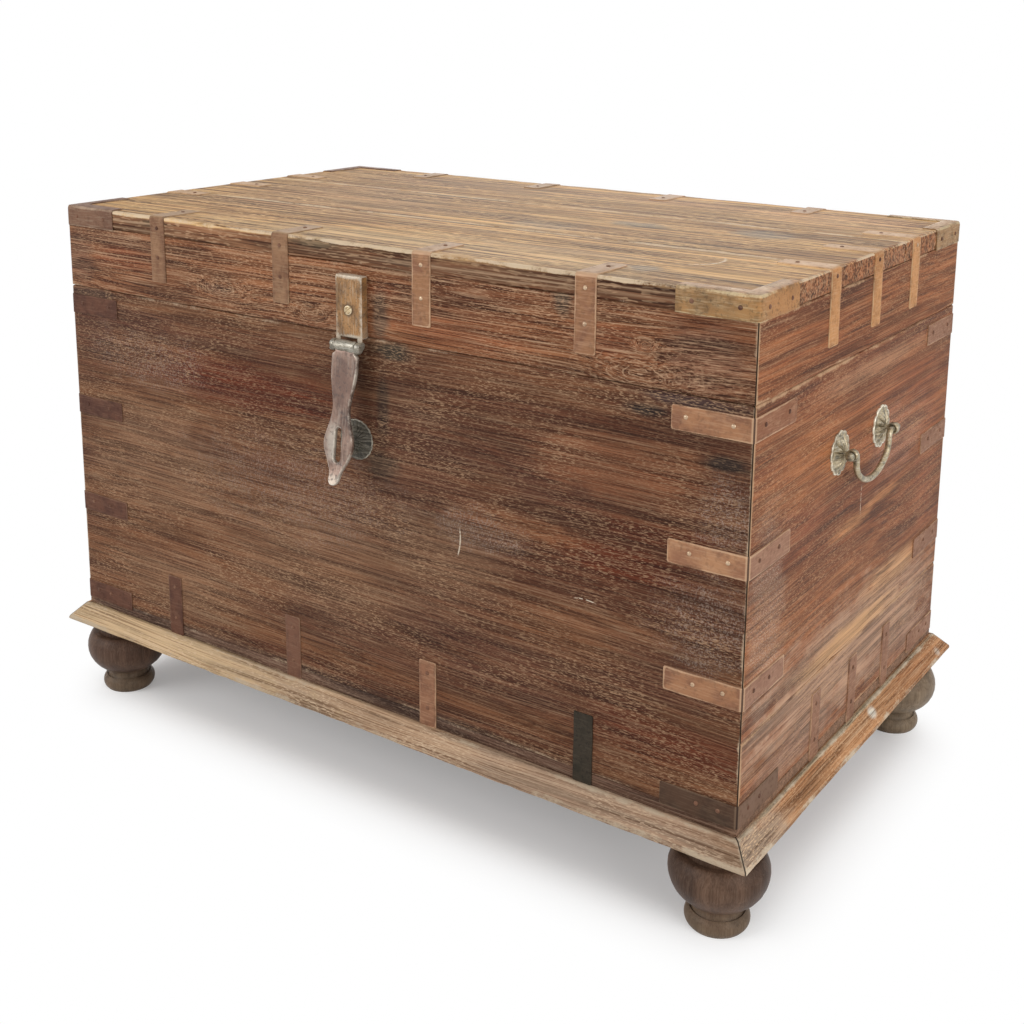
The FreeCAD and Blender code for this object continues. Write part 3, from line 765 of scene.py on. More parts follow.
def grain_group() -> Tree:
    """Wood grain from a place whose X runs along the grain.

    Bands, streaks and lines are noise drawn out along the grain, ever finer. Flecks are short dashes of dust,
    and Dusty says where they gather. A slow noise bends them all across the grain.
    """
    group = Group(
        "wood_grain", ("Vector",), ("Swirl", "Line Scale"), ("Bands", "Streaks", "Lines", "Flecks", "Dusty")
    )
    place = group.inside["Vector"]
    slow = group.noise(place, (2.2, 9.0, 9.0), 2.0, 0.5)
    swirl = group.plus(group.times(group.minus(slow, 0.5), 0.018), group.inside["Swirl"])
    bent = group.vector("ADD", place, group.combined(0.0, swirl, swirl))
    fine = group.scaled(bent, group.inside["Line Scale"])
    for name, source, scale, detail in (
        ("Bands", bent, (1.6, 24.0, 24.0), 3.0), ("Streaks", bent, (6.0, 130.0, 130.0), 3.0),
        ("Lines", fine, (7.0, 820.0, 820.0), 2.0), ("Flecks", fine, (200.0, 1200.0, 1200.0), 1.0),
        ("Dusty", place, (7.0, 16.0, 16.0), 4.0)
    ):
        group.give(**{name: group.noise(source, scale, detail, 0.6)})
    return group.tree


def spot_group() -> Tree:
    """A patch: 1 at its middle, 0 outside a ragged ellipsoid, and broken into specks where asked."""
    group = Group("spot", ("Vector", "Centre", "Size"), ("Ragged", "Speckle"), ("Mask",))
    place = group.inside["Vector"]
    away = group.vector(
        "DIVIDE", group.vector("SUBTRACT", place, group.inside["Centre"]), group.inside["Size"]
    )
    rough = group.noise(place, (30.0, 30.0, 70.0), 4.0, 0.65)
    pull = group.times(group.minus(rough, 0.5), group.inside["Ragged"])
    mask = group.step(group.plus(group.vector("LENGTH", away), pull), 1.1, 0.35)
    gaps = group.step(group.noise(place, 620.0, 2.0, 0.6), 0.6, 0.5)
    group.give(Mask=group.times(mask, group.minus(1.0, group.times(gaps, group.inside["Speckle"]))))
    return group.tree


def knot_group() -> Tree:
    """A knot: how far it pushes the grain aside, by a bell round its middle, and the pale rings round it."""
    group = Group("knot", ("Vector", "Centre", "Size"), ("Strength",), ("Push", "Rings"))
    place = group.inside["Vector"]
    away = group.vector(
        "DIVIDE", group.vector("SUBTRACT", place, group.inside["Centre"]), group.inside["Size"]
    )
    bell = group.math("POWER", math.e, group.times(group.vector("DOT_PRODUCT", away, away), -1.0))
    near = group.vector("LENGTH", away)
    rough = group.times(group.noise(place, 45.0, 2.0, 0.5), 1.1)
    wave = group.math("SINE", group.times(group.plus(near, rough), 31.0))
    broken = group.step(group.noise(place, 190.0, 2.0, 0.6), 0.38, 0.6)
    rings = group.times(group.step(wave, 0.45, 1.0), group.step(near, 2.1, 0.3))
    group.give(Push=group.times(bell, group.inside["Strength"]), Rings=group.times(rings, broken))
    return group.tree


def scratch_group() -> Tree:
    """A thin curved scratch: the points at one distance from a far centre, within a window."""
    group = Group("scratch", ("Vector", "Centre", "Window"), ("Radius", "Width", "Reach"), ("Mask",))
    place = group.inside["Vector"]
    distance = group.vector("DISTANCE", place, group.inside["Centre"])
    off = group.math("ABSOLUTE", group.minus(distance, group.inside["Radius"]))
    line = group.minus(1.0, group.math("DIVIDE", off, group.inside["Width"]), clamp=True)
    away = group.math(
        "DIVIDE", group.vector("DISTANCE", place, group.inside["Window"]), group.inside["Reach"]
    )
    broken = group.step(group.noise(place, 260.0, 2.0), 0.36, 0.5)
    group.give(Mask=group.times(line, group.times(group.step(away, 1.0, 0.6), broken)))
    return group.tree


def wear_group() -> Tree:
    """Rubbed edges, where an edge mark passes a rough noise, and the grime beside them."""
    group = Group("edge_wear", ("Vector",), ("Edge", "Amount"), ("Rubbed", "Grime"))
    place, edge = group.inside["Vector"], group.inside["Edge"]
    rough = group.noise(place, 55.0, 4.0, 0.65)
    fine = group.noise(place, 420.0, 2.0, 0.6)
    broad = group.noise(place, 13.0, 2.0, 0.5)
    level = group.plus(group.times(rough, 0.75), group.times(fine, 0.35))
    level = group.plus(level, group.step(broad, 0.35, 0.65, -0.14, 0.14))
    level = group.plus(level, group.minus(0.95, group.inside["Amount"]))
    rubbed = group.step(group.minus(edge, level), -0.1, 0.22)
    group.give(Rubbed=rubbed, Grime=group.times(group.step(rough, 0.45, 0.7), edge))
    return group.tree


def tarnish_group() -> Tree:
    """Old metal: broad clouds of tarnish, small pits, and a height for them."""
    group = Group("tarnish", ("Vector",), ("Scale",), ("Clouds", "Pits", "Height"))
    place = group.scaled(group.inside["Vector"], group.inside["Scale"])
    clouds = group.noise(place, 1.0, 5.0, 0.62)
    pits = group.noise(place, 7.0, 3.0, 0.6)
    group.give(Clouds=clouds, Pits=pits, Height=group.plus(group.times(clouds, 0.6), group.times(pits, 0.5)))
    return group.tree


GRAIN = grain_group()
SPOT = spot_group()
KNOT = knot_group()
SCRATCH = scratch_group()
WEAR = wear_group()
TARNISH = tarnish_group()


def new_material(name: str) -> tuple[Material, Graph]:
    """An empty material and its graph."""
    material = bpy.data.materials.new(name)
    material.use_nodes = True
    return material, Graph(material.node_tree)


@dataclass(frozen=True)
class Patch:
    """A soft patch of another colour, whole or broken into specks."""

    centre: Point
    size: Point
    colour: Colour
    strength: float = 0.8
    ragged: float = 1.2
    speckle: float = 0.0

    def over(self, graph: Graph, place: Socket, colour: object) -> Socket:
        """A colour with the patch laid over it."""
        spot = graph.group(
            SPOT, Vector=place, Centre=self.centre, Size=self.size, Ragged=self.ragged, Speckle=self.speckle
        )
        return graph.over(colour, self.colour, spot["Mask"], self.strength)


def patches_on(axis: int, level: float, depth: float, rows: tuple[tuple, ...]) -> tuple[Patch, ...]:
    """Patches on a face that is square to an axis.

    Args:
        axis: 0, 1 or 2 for X, Y or Z.
        level: where the face lies along it.
        depth: how far the patches reach along it.
        rows: each has its place and half sizes in the face, its colour, and further fields where they differ.

    Returns:
        The patches in order.
    """
    def whole(first: float, second: float, along: float) -> Point:
        """Two parts in the face and one along the axis, in order."""
        parts = [first, second]
        parts.insert(axis, along)
        return tuple(parts)

    return tuple(Patch(whole(*row[:2], level), whole(*row[2:4], depth), *row[4:]) for row in rows)


@dataclass(frozen=True)
class Knot:
    """A knot: where it is, how wide the grain bends round it, and how strongly."""

    centre: Point
    size: Point
    strength: float


@dataclass(frozen=True)
class Scratch:
    """A light curved scratch: its arc's centre and radius, and the middle and reach of what shows."""

    centre: Point
    radius: float
    middle: Point
    reach: float
    width: float = 1.1 * MM


class Grain(Enum):
    """Which way the grain runs, as the order in which a place's parts are read."""

    ALONG_X = (0, 1, 2)
    ALONG_Y = (1, 0, 2)
    ALONG_Z = (2, 0, 1)


@dataclass(frozen=True)
class WoodFinish:
    """Old oiled teak: dark bands, streaks, light and dark lines, flecks of dust and rubbed edges.

    light_lines, dark_lines, contrast (of the streaks), dust and wear say how strongly each shows, line_scale
    how fine the lines are, and offset where in the endless grain the board was cut. flank holds the deep,
    body and pale colours of its sides, where they differ from its top's.
    """

    name: str
    grain: Grain
    deep: Colour
    body: Colour
    pale: Colour
    worn: Colour
    light_lines: float = 0.4
    dark_lines: float = 0.8
    contrast: float = 0.28
    dust: float = 0.6
    wear: float = 0.5
    line_scale: float = 1.0
    offset: float = 0.0
    rough: float = 0.6
    flank: tuple[Colour, Colour, Colour] | None = None
    patches: tuple[Patch, ...] = ()
    knots: tuple[Knot, ...] = ()
    scratches: tuple[Scratch, ...] = ()

    def grain_place(self, graph: Graph, place: Socket) -> Socket:
        """The place with its X along the grain, moved so that boards differ."""
        split = graph.node("SeparateXYZ")
        graph.feed(split.inputs[0], place)
        turned = graph.combined(*(split.outputs[source] for source in self.grain.value))
        shift = graph.times(graph.mark("tone"), 3.7)
        moved = graph.vector("ADD", turned, graph.combined(shift, shift))
        return graph.vector("ADD", moved, (self.offset, self.offset * 0.37, self.offset * 0.61))

    def swirl(self, graph: Graph, place: Socket) -> tuple[object, object]:
        """How far all the knots together push the grain aside, and their rings."""
        push: object = 0.0
        rings: object = 0.0
        for knot in self.knots:
            knotted = graph.group(
                KNOT, Vector=place, Centre=knot.centre, Size=knot.size, Strength=knot.strength
            )
            push = graph.plus(knotted["Push"], push)
            rings = graph.math("MAXIMUM", knotted["Rings"], rings)
        return push, rings

    def build(self) -> Material:
        """Lays down grain, patches, scratches, wear and dust, and lets the bump follow them.

        Returns:
            The material.
        """
        material, graph = new_material(self.name)
        place = graph.place()
        along = self.grain_place(graph, place)
        push, rings = self.swirl(graph, place)
        grain = graph.group(GRAIN, Vector=along, Swirl=push, Line_Scale=self.line_scale)
        lines, flecks = grain["Lines"], grain["Flecks"]
        deep, body, pale = self.deep, self.body, self.pale
        amount: object = self.wear
        if self.flank:
            side = graph.step(graph.mark("flank"), 0.15, 0.75)
            deep, body, pale = (graph.mix(side, *pair) for pair in zip((deep, body, pale), self.flank))
            amount = graph.step(graph.mark("flank"), 0.1, 0.9, self.wear, self.wear - 0.35)
        colour = graph.mix(graph.step(grain["Bands"], 0.38, 0.64), deep, body)
        for patch in self.patches:
            colour = patch.over(graph, place, colour)
        level = graph.step(grain["Streaks"], 0.33, 0.67, 1 - self.contrast, 1 + self.contrast)
        colour = graph.mix(1.0, colour, graph.combined(level, level, level), "MULTIPLY")
        dark = graph.times(graph.step(lines, 0.5, 0.38), self.dark_lines)
        colour = graph.mix(dark, colour, graph.mix(1.0, colour, LINE_SHADE, "MULTIPLY"))
        colour = graph.over(colour, pale, graph.step(lines, 0.53, 0.7), self.light_lines)
        if self.knots:
            colour = graph.over(colour, pale, rings, 0.7)
        share = graph.step(grain["Dusty"], 0.36, 0.64, 0.2, 1.0)
        dash = graph.times(graph.step(flecks, 0.53, 0.65), share)
        dash = graph.times(dash, self.dust, clamp=True)
        colour = graph.mix(dash, colour, graph.mix(1.0, pale, DUST_TINT, "MULTIPLY"))
        wear = graph.group(WEAR, Vector=along, Edge=graph.mark("edge"), Amount=amount)
        colour = graph.over(colour, self.worn, wear["Rubbed"], 0.85)
        colour = graph.mix(graph.times(graph.step(graph.mark("joint"), 0.15, 0.6), 0.9), colour, JOINT_GAP)
        for scratch in self.scratches:
            cut = graph.group(SCRATCH, Vector=place, Centre=scratch.centre, Radius=scratch.radius,
                              Width=scratch.width, Window=scratch.middle, Reach=scratch.reach)
            colour = graph.over(colour, RAW_WOOD, cut["Mask"], 0.9)
        gloss = graph.plus(graph.times(lines, 0.22), self.rough - 0.11)
        shader = graph.shade(colour, graph.plus(gloss, graph.times(dash, 0.2)), 0.13)
        height = graph.plus(graph.times(lines, 0.9), graph.times(flecks, 0.4))
        graph.bump(shader, graph.minus(height, graph.times(dash, 0.3)), 0.55, 0.6 * MM)
        return material


@dataclass(frozen=True)
class MetalFinish:
    """Old sheet metal, wire or a casting: clouds of tarnish, pits of dirt, fine lines and rubbed edges.

    scale says how small the clouds are, pitted, brushed and wear how strongly the pits, lines and rubbed
    edges show, streaks how fine the lines are along X, Y and Z, and depth how uneven it is. A bent strap may
    have a dark crease between two rubbed lines, and a second leg of a faded colour.
    """

    name: str
    bright: Colour
    body: Colour
    tarnish: Colour
    dirt: Colour
    metallic: float = 0.55
    rough: float = 0.5
    scale: float = 60.0
    wear: float = 0.55
    brushed: float = 0.3
    streaks: Point = (60.0, 60.0, 700.0)
    depth: float = 0.35 * MM
    pitted: float = 0.6
    shine: float = 0.5
    crease: float = 0.0
    faded: Colour | None = None
    patches: tuple[Patch, ...] = ()

    def build(self) -> Material:
        """Lays tarnish and rubbed edges over the bare metal, and lets the bump follow them.

        Returns:
            The material.
        """
        material, graph = new_material(self.name)
        place = graph.place()
        old = graph.group(TARNISH, Vector=place, Scale=self.scale)
        colour = graph.mix(graph.step(old["Clouds"], 0.42, 0.66), self.body, self.tarnish)
        if self.faded:
            colour = graph.mix(graph.step(graph.mark("second_leg"), 0.3, 0.8, 0.0, 0.8), colour, self.faded)
        streak = graph.step(graph.noise(place, self.streaks, 3.0, 0.6), 0.45, 0.7)
        colour = graph.over(colour, self.bright, streak, self.brushed)
        for patch in self.patches:
            colour = patch.over(graph, place, colour)
        dirty = graph.step(old["Pits"], 0.5, 0.3)
        colour = graph.over(colour, self.dirt, dirty, self.pitted)
        wear = graph.group(WEAR, Vector=place, Edge=graph.mark("edge"), Amount=self.wear)
        colour = graph.over(colour, self.dirt, wear["Grime"], 0.5)
        colour = graph.over(colour, self.bright, wear["Rubbed"], 0.7)
        if self.crease:
            off = graph.math("ABSOLUTE", graph.minus(graph.mark("second_leg"), 0.5))
            colour = graph.mix(graph.step(off, 0.5, 0.3, 0.0, 0.7), colour, self.bright)
            colour = graph.mix(graph.step(off, 0.2, 0.1, 0.0, self.crease), colour, self.dirt)
        gloss = graph.plus(graph.times(old["Clouds"], 0.35), self.rough - 0.17)
        shader = graph.shade(colour, graph.plus(gloss, graph.times(dirty, 0.15)), self.shine)
        metal = graph.times(graph.step(dirty, 0.0, 1.0, 1.0, 0.45), self.metallic)
        graph.feed(shader.inputs["Metallic"], metal)
        graph.bump(shader, old["Height"], 0.6, self.depth)
        return material


def dress(surface: Surface, name: str, body: str, material: Material,
          nodes: tuple[str, ...] = (), tone: float = 0.0) -> None:
    """Makes a piece from a surface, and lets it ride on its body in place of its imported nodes.

    Args:
        surface: the closed surface.
        name: the piece's name.
        body: the body that it moves with.
        material: its finish.
        nodes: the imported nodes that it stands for.
        tone: which cut of the endless grain it shows.
    """
    mesh = bpy.data.meshes.new(name)
    sizes = np.concatenate([np.full(len(group), group.shape[1]) for group in surface.faces])
    corners = np.concatenate([group.reshape(-1) for group in surface.faces])
    mesh.vertices.add(len(surface.points))
    mesh.vertices.foreach_set("co", surface.points.astype(np.float32).reshape(-1))
    mesh.loops.add(len(corners))
    mesh.loops.foreach_set("vertex_index", corners.astype(np.int32))
    mesh.polygons.add(len(sizes))
    mesh.polygons.foreach_set("loop_start", np.concatenate([[0], np.cumsum(sizes)[:-1]]).astype(np.int32))
    mesh.polygons.foreach_set("loop_total", sizes.astype(np.int32))
    mesh.update(calc_edges=True)
    mesh.validate()
    marks = dict(surface.marks)
    marks.setdefault("edge", np.zeros(len(surface.points)))
    marks["tone"] = np.full(len(surface.points), tone)
    for mark, values in marks.items():
        attribute = mesh.attributes.new(mark, "FLOAT", "POINT")
        attribute.data.foreach_set("value", values.astype(np.float32))
    mesh.shade_smooth()
    mesh.set_sharp_from_angle(angle=math.radians(38))
    mesh.materials.append(material)
    piece = bpy.data.objects.new(name, mesh)
    bpy.context.scene.collection.objects.link(piece)
    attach(piece, body)
    if nodes:
        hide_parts(*nodes)
    log.info("%s: %d points on %s", name, len(surface.points), body)


def spans(node: str, axis: int) -> Array:
    """Where each of a node's straps begins and ends, from the places of its points.

    Args:
        node: the node's name.
        axis: 0, 1 or 2 for X, Y or Z.

    Returns:
        The low and high end of each, of shape (straps, 2).
    """
    places = np.array([vertex.co[axis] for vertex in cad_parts[node].data.vertices])
    different = np.unique(np.round(places, 5))
    return different.reshape(-1, 2)


# Colours of the chest, as linear values

TEAK_DEEP: Colour = (0.086, 0.03, 0.014)
TEAK_BODY: Colour = (0.15, 0.062, 0.027)
TEAK_RED: Colour = (0.092, 0.017, 0.005)
TEAK_PALE: Colour = (0.32, 0.205, 0.125)
TEAK_WORN: Colour = (0.46, 0.34, 0.23)
LINE_SHADE: Colour = (0.33, 0.24, 0.19)
DUST_TINT: Colour = (1.3, 1.27, 1.22)
JOINT_GAP: Colour = (0.02, 0.013, 0.009)
RAW_WOOD: Colour = (0.72, 0.62, 0.48)


@dataclass
class Chest:
    """The main sizes of the box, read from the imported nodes."""

    low: Array = field(init=False)
    high: Array = field(init=False)
    middle_y: float = field(init=False)
    half_width: float = field(init=False)
    half_depth: float = field(init=False)

    def __post_init__(self) -> None:
        """Reads the walls and the lid."""
        front, back = box("wall_front")[0], box("wall_back")[1]
        left, right = box("wall_left_upper")[0], box("wall_right_upper")[1]
        self.low = np.array([left[0], front[1], front[2]])
        self.high = np.array([right[0], back[1], box("lid_board_front")[1][2]])
        self.middle_y = (self.low[1] + self.high[1]) / 2
        self.half_width = (self.high[0] - self.low[0]) / 2
        self.half_depth = (self.high[1] - self.low[1]) / 2

    def run(self, side: Side) -> float:
        """The chest's whole length along a side."""
        return 2 * (self.half_depth if side.axis else self.half_width)

    def face(self, side: Side, along: float, height: float) -> Array:
        """The point of a side's face at a place along the side's axis and a height."""
        reach = self.half_width if side.axis else self.half_depth
        place = np.array([0, self.middle_y, height]) + side.outward * reach
        place[side.axis] = along
        return place

    def corner(self, front: Side, end: Side, height: float) -> Array:
        """The point of an upright edge at a height."""
        middle = np.array([0, self.middle_y, height])
        return middle + front.outward * self.half_depth + end.outward * self.half_width

    def corners(self) -> Iterator[tuple[str, Side, Side]]:
        """The four upright edges, each with a name, its long side and its end."""
        for front in (Side.FRONT, Side.BACK):
            for end in (Side.LEFT, Side.RIGHT):
                yield f"{front.label}_{end.label}", front, end


@dataclass
class Carcass:
    """The box: its bottom boards and its walls."""

    chest: Chest
    worn: Worn = Worn()
    rim: Worn = Worn(ease=1.8 * MM, vary=0.7, chip=2.2 * MM)

    def build(self) -> None:
        """Makes each board with its own finish."""
        front = WoodFinish(
            "front_teak", Grain.ALONG_X, TEAK_DEEP, TEAK_BODY, TEAK_PALE, TEAK_WORN, wear=0.42,
            patches=self.front_patches(),
            scratches=(
                Scratch((0.077, -0.254, 0.333), 0.058, (0.135, -0.254, 0.328), 0.017),
                Scratch((0.283, -0.254, 0.245), 0.06, (0.283, -0.254, 0.305), 0.014, 0.8 * MM)
            )
        ).build()
        side = WoodFinish(
            "end_teak", Grain.ALONG_Y, (0.145, 0.044, 0.016), (0.245, 0.086, 0.031), (0.44, 0.27, 0.155),
            (0.47, 0.29, 0.165), light_lines=0.3, dark_lines=0.65, contrast=0.34, dust=0.45, wear=0.55,
            offset=2.3, rough=0.55, patches=self.end_patches(),
            scratches=(Scratch((0.45, 0.213, 0.364), 0.2, (0.45, 0.013, 0.362), 0.018, 0.9 * MM),)
        ).build()
        hidden = WoodFinish(
            "back_teak", Grain.ALONG_X, TEAK_DEEP, TEAK_BODY, TEAK_PALE, TEAK_WORN, wear=0.4, offset=5.1
        ).build()
        floor = WoodFinish(
            "bottom_teak", Grain.ALONG_X, (0.06, 0.03, 0.02), (0.13, 0.07, 0.045), (0.3, 0.21, 0.15),
            TEAK_WORN, dust=0.3, wear=0.3, offset=7.7,
            patches=tuple(
                Patch((x, 0.011, 0.12), (0.02, 0.4, 0.03), (0.27, 0.15, 0.09), 0.8) for x in (-0.45, 0.45)
            )
        ).build()
        walls = (
            ("front_wall", "wall_front", Side.FRONT, front), ("back_wall", "wall_back", Side.BACK, hidden),
            ("right_wall_lower_board", "wall_right_lower", Side.RIGHT, side),
            ("right_wall_upper_board", "wall_right_upper", Side.RIGHT, side),
            ("left_wall_lower_board", "wall_left_lower", Side.LEFT, side),
            ("left_wall_upper_board", "wall_left_upper", Side.LEFT, side)
        )
        for index, (name, node, way, material) in enumerate(walls):
            tone = 0.1 * index if way in (Side.RIGHT, Side.LEFT) else 0.0
            seat = replace(Seat.of_node(node, way), length=self.chest.run(way))
            surface = block(seat, 1, self.rim, 10 + 3 * index)
            dress(surface, name, "chest", material, (node,), tone)
        for index, place in enumerate(("front", "middle", "back")):
            node = "bottom_board_" + place
            surface = block(Seat.of_node(node, Side.FRONT), 0, self.worn, 40 + 3 * index)
            dress(surface, "bottom_" + place + "_board", "chest", floor, (node,), 0.3 * index)

    def front_patches(self) -> tuple[Patch, ...]:
        """Stains and rubbed places of the front from its left end to its right, and a painted shadow."""
        face = self.chest.low[1]
        red, dark, plum = TEAK_RED, (0.022, 0.014, 0.011), (0.075, 0.028, 0.017)
        tan, dusty = (0.215, 0.118, 0.066), (0.23, 0.16, 0.125)
        return patches_on(1, face, 0.1, (
            (-0.17, 0.443, 0.22, 0.036, red, 0.95), (-0.1, 0.436, 0.09, 0.012, (0.085, 0.018, 0.006), 0.8),
            (-0.36, 0.495, 0.1, 0.02, plum, 0.55), (-0.31, 0.33, 0.15, 0.1, tan, 0.5),
            (-0.42, 0.47, 0.05, 0.06, plum, 0.6), (-0.05, 0.26, 0.2, 0.09, tan, 0.45),
            (0.06, 0.4, 0.13, 0.08, plum, 0.55), (0.11, 0.31, 0.1, 0.06, tan, 0.5),
            (0.25, 0.42, 0.1, 0.04, plum, 0.6), (0.32, 0.352, 0.1, 0.022, red, 0.8),
            (0.0, 0.19, 0.22, 0.035, plum, 0.5), (0.13, 0.245, 0.12, 0.05, plum, 0.5),
            (-0.12, 0.4, 0.12, 0.022, (0.062, 0.024, 0.013), 0.5),
            (0.2, 0.36, 0.1, 0.016, (0.22, 0.085, 0.035), 0.6),
            (0.3, 0.285, 0.1, 0.018, (0.215, 0.095, 0.045), 0.5), (0.37, 0.25, 0.08, 0.04, plum, 0.5),
            (0.31, 0.44, 0.13, 0.04, (0.195, 0.074, 0.033), 0.7), (0.36, 0.385, 0.09, 0.014, red, 0.6),
            (0.22, 0.21, 0.18, 0.05, plum, 0.5), (0.37, 0.185, 0.12, 0.03, red, 0.6),
            (0.415, 0.31, 0.06, 0.06, dusty, 0.9, 2.2, 0.95), (0.43, 0.42, 0.04, 0.04, dusty, 0.9, 2.2, 0.95),
            (-0.32, 0.45, 0.12, 0.04, dusty, 0.7, 2.2, 0.95), (-0.1, 0.34, 0.2, 0.06, dusty, 0.6, 2.2, 0.95),
            (0.16, 0.345, 0.07, 0.025, dusty, 0.9, 2.0, 0.9), (-0.28, 0.18, 0.14, 0.05, tan, 0.5),
            (0.345, 0.503, 0.035, 0.007, dark, 0.95, 0.9), (0.425, 0.467, 0.032, 0.009, dark, 0.95, 0.9),
            (0.39, 0.518, 0.07, 0.009, (0.045, 0.026, 0.026), 0.85, 1.0),
            (-0.41, 0.517, 0.05, 0.008, (0.05, 0.028, 0.022), 0.7, 1.0),
            (0.048, 0.515, 0.035, 0.012, (0.03, 0.03, 0.022), 0.8, 1.3),
            # Painted shadow: a narrow near-black patch on the wall right of the hasp's arm.
            (0.036, 0.455, 0.012, 0.045, dark, 0.75, 0.8),
            (0.034, 0.39, 0.028, 0.02, (0.035, 0.03, 0.022), 0.6, 1.4),
            (0.0, 0.128, 0.5, 0.006, (0.045, 0.026, 0.02), 0.6, 1.0),
        ))

    def end_patches(self) -> tuple[Patch, ...]:
        """Orange streaks and plum shades of the ends."""
        face = self.chest.high[0]
        orange, plum, rust = (0.46, 0.2, 0.08), (0.29, 0.175, 0.12), (0.25, 0.082, 0.036)
        return patches_on(
            0, face, 0.2,
            (
                (-0.11, 0.44, 0.1, 0.06, (0.32, 0.112, 0.038), 0.65), (0.1, 0.42, 0.14, 0.07, rust, 0.6),
                (0.05, 0.475, 0.26, 0.035, (0.23, 0.072, 0.026), 0.55),
                (-0.01, 0.343, 0.07, 0.01, orange, 0.8, 0.8), (0.08, 0.35, 0.06, 0.008, orange, 0.7, 0.8),
                (-0.14, 0.375, 0.08, 0.03, rust, 0.6), (0.01, 0.2, 0.34, 0.075, (0.4, 0.25, 0.165), 0.8, 1.6),
                (-0.12, 0.15, 0.15, 0.025, plum, 0.6), (0.16, 0.15, 0.13, 0.025, plum, 0.6),
                (0.0, 0.218, 0.17, 0.016, (0.5, 0.28, 0.13), 0.85, 0.8),
                (0.13, 0.25, 0.12, 0.02, (0.46, 0.25, 0.12), 0.75, 0.9),
                (-0.21, 0.31, 0.05, 0.12, (0.38, 0.28, 0.21), 0.8, 2.0, 0.85),
                (0.12, 0.4, 0.1, 0.05, (0.36, 0.24, 0.18), 0.6, 2.0, 0.9),
                (0.05, 0.5, 0.18, 0.014, (0.36, 0.19, 0.105), 0.5), (0.22, 0.36, 0.05, 0.12, rust, 0.5)
            )
        )


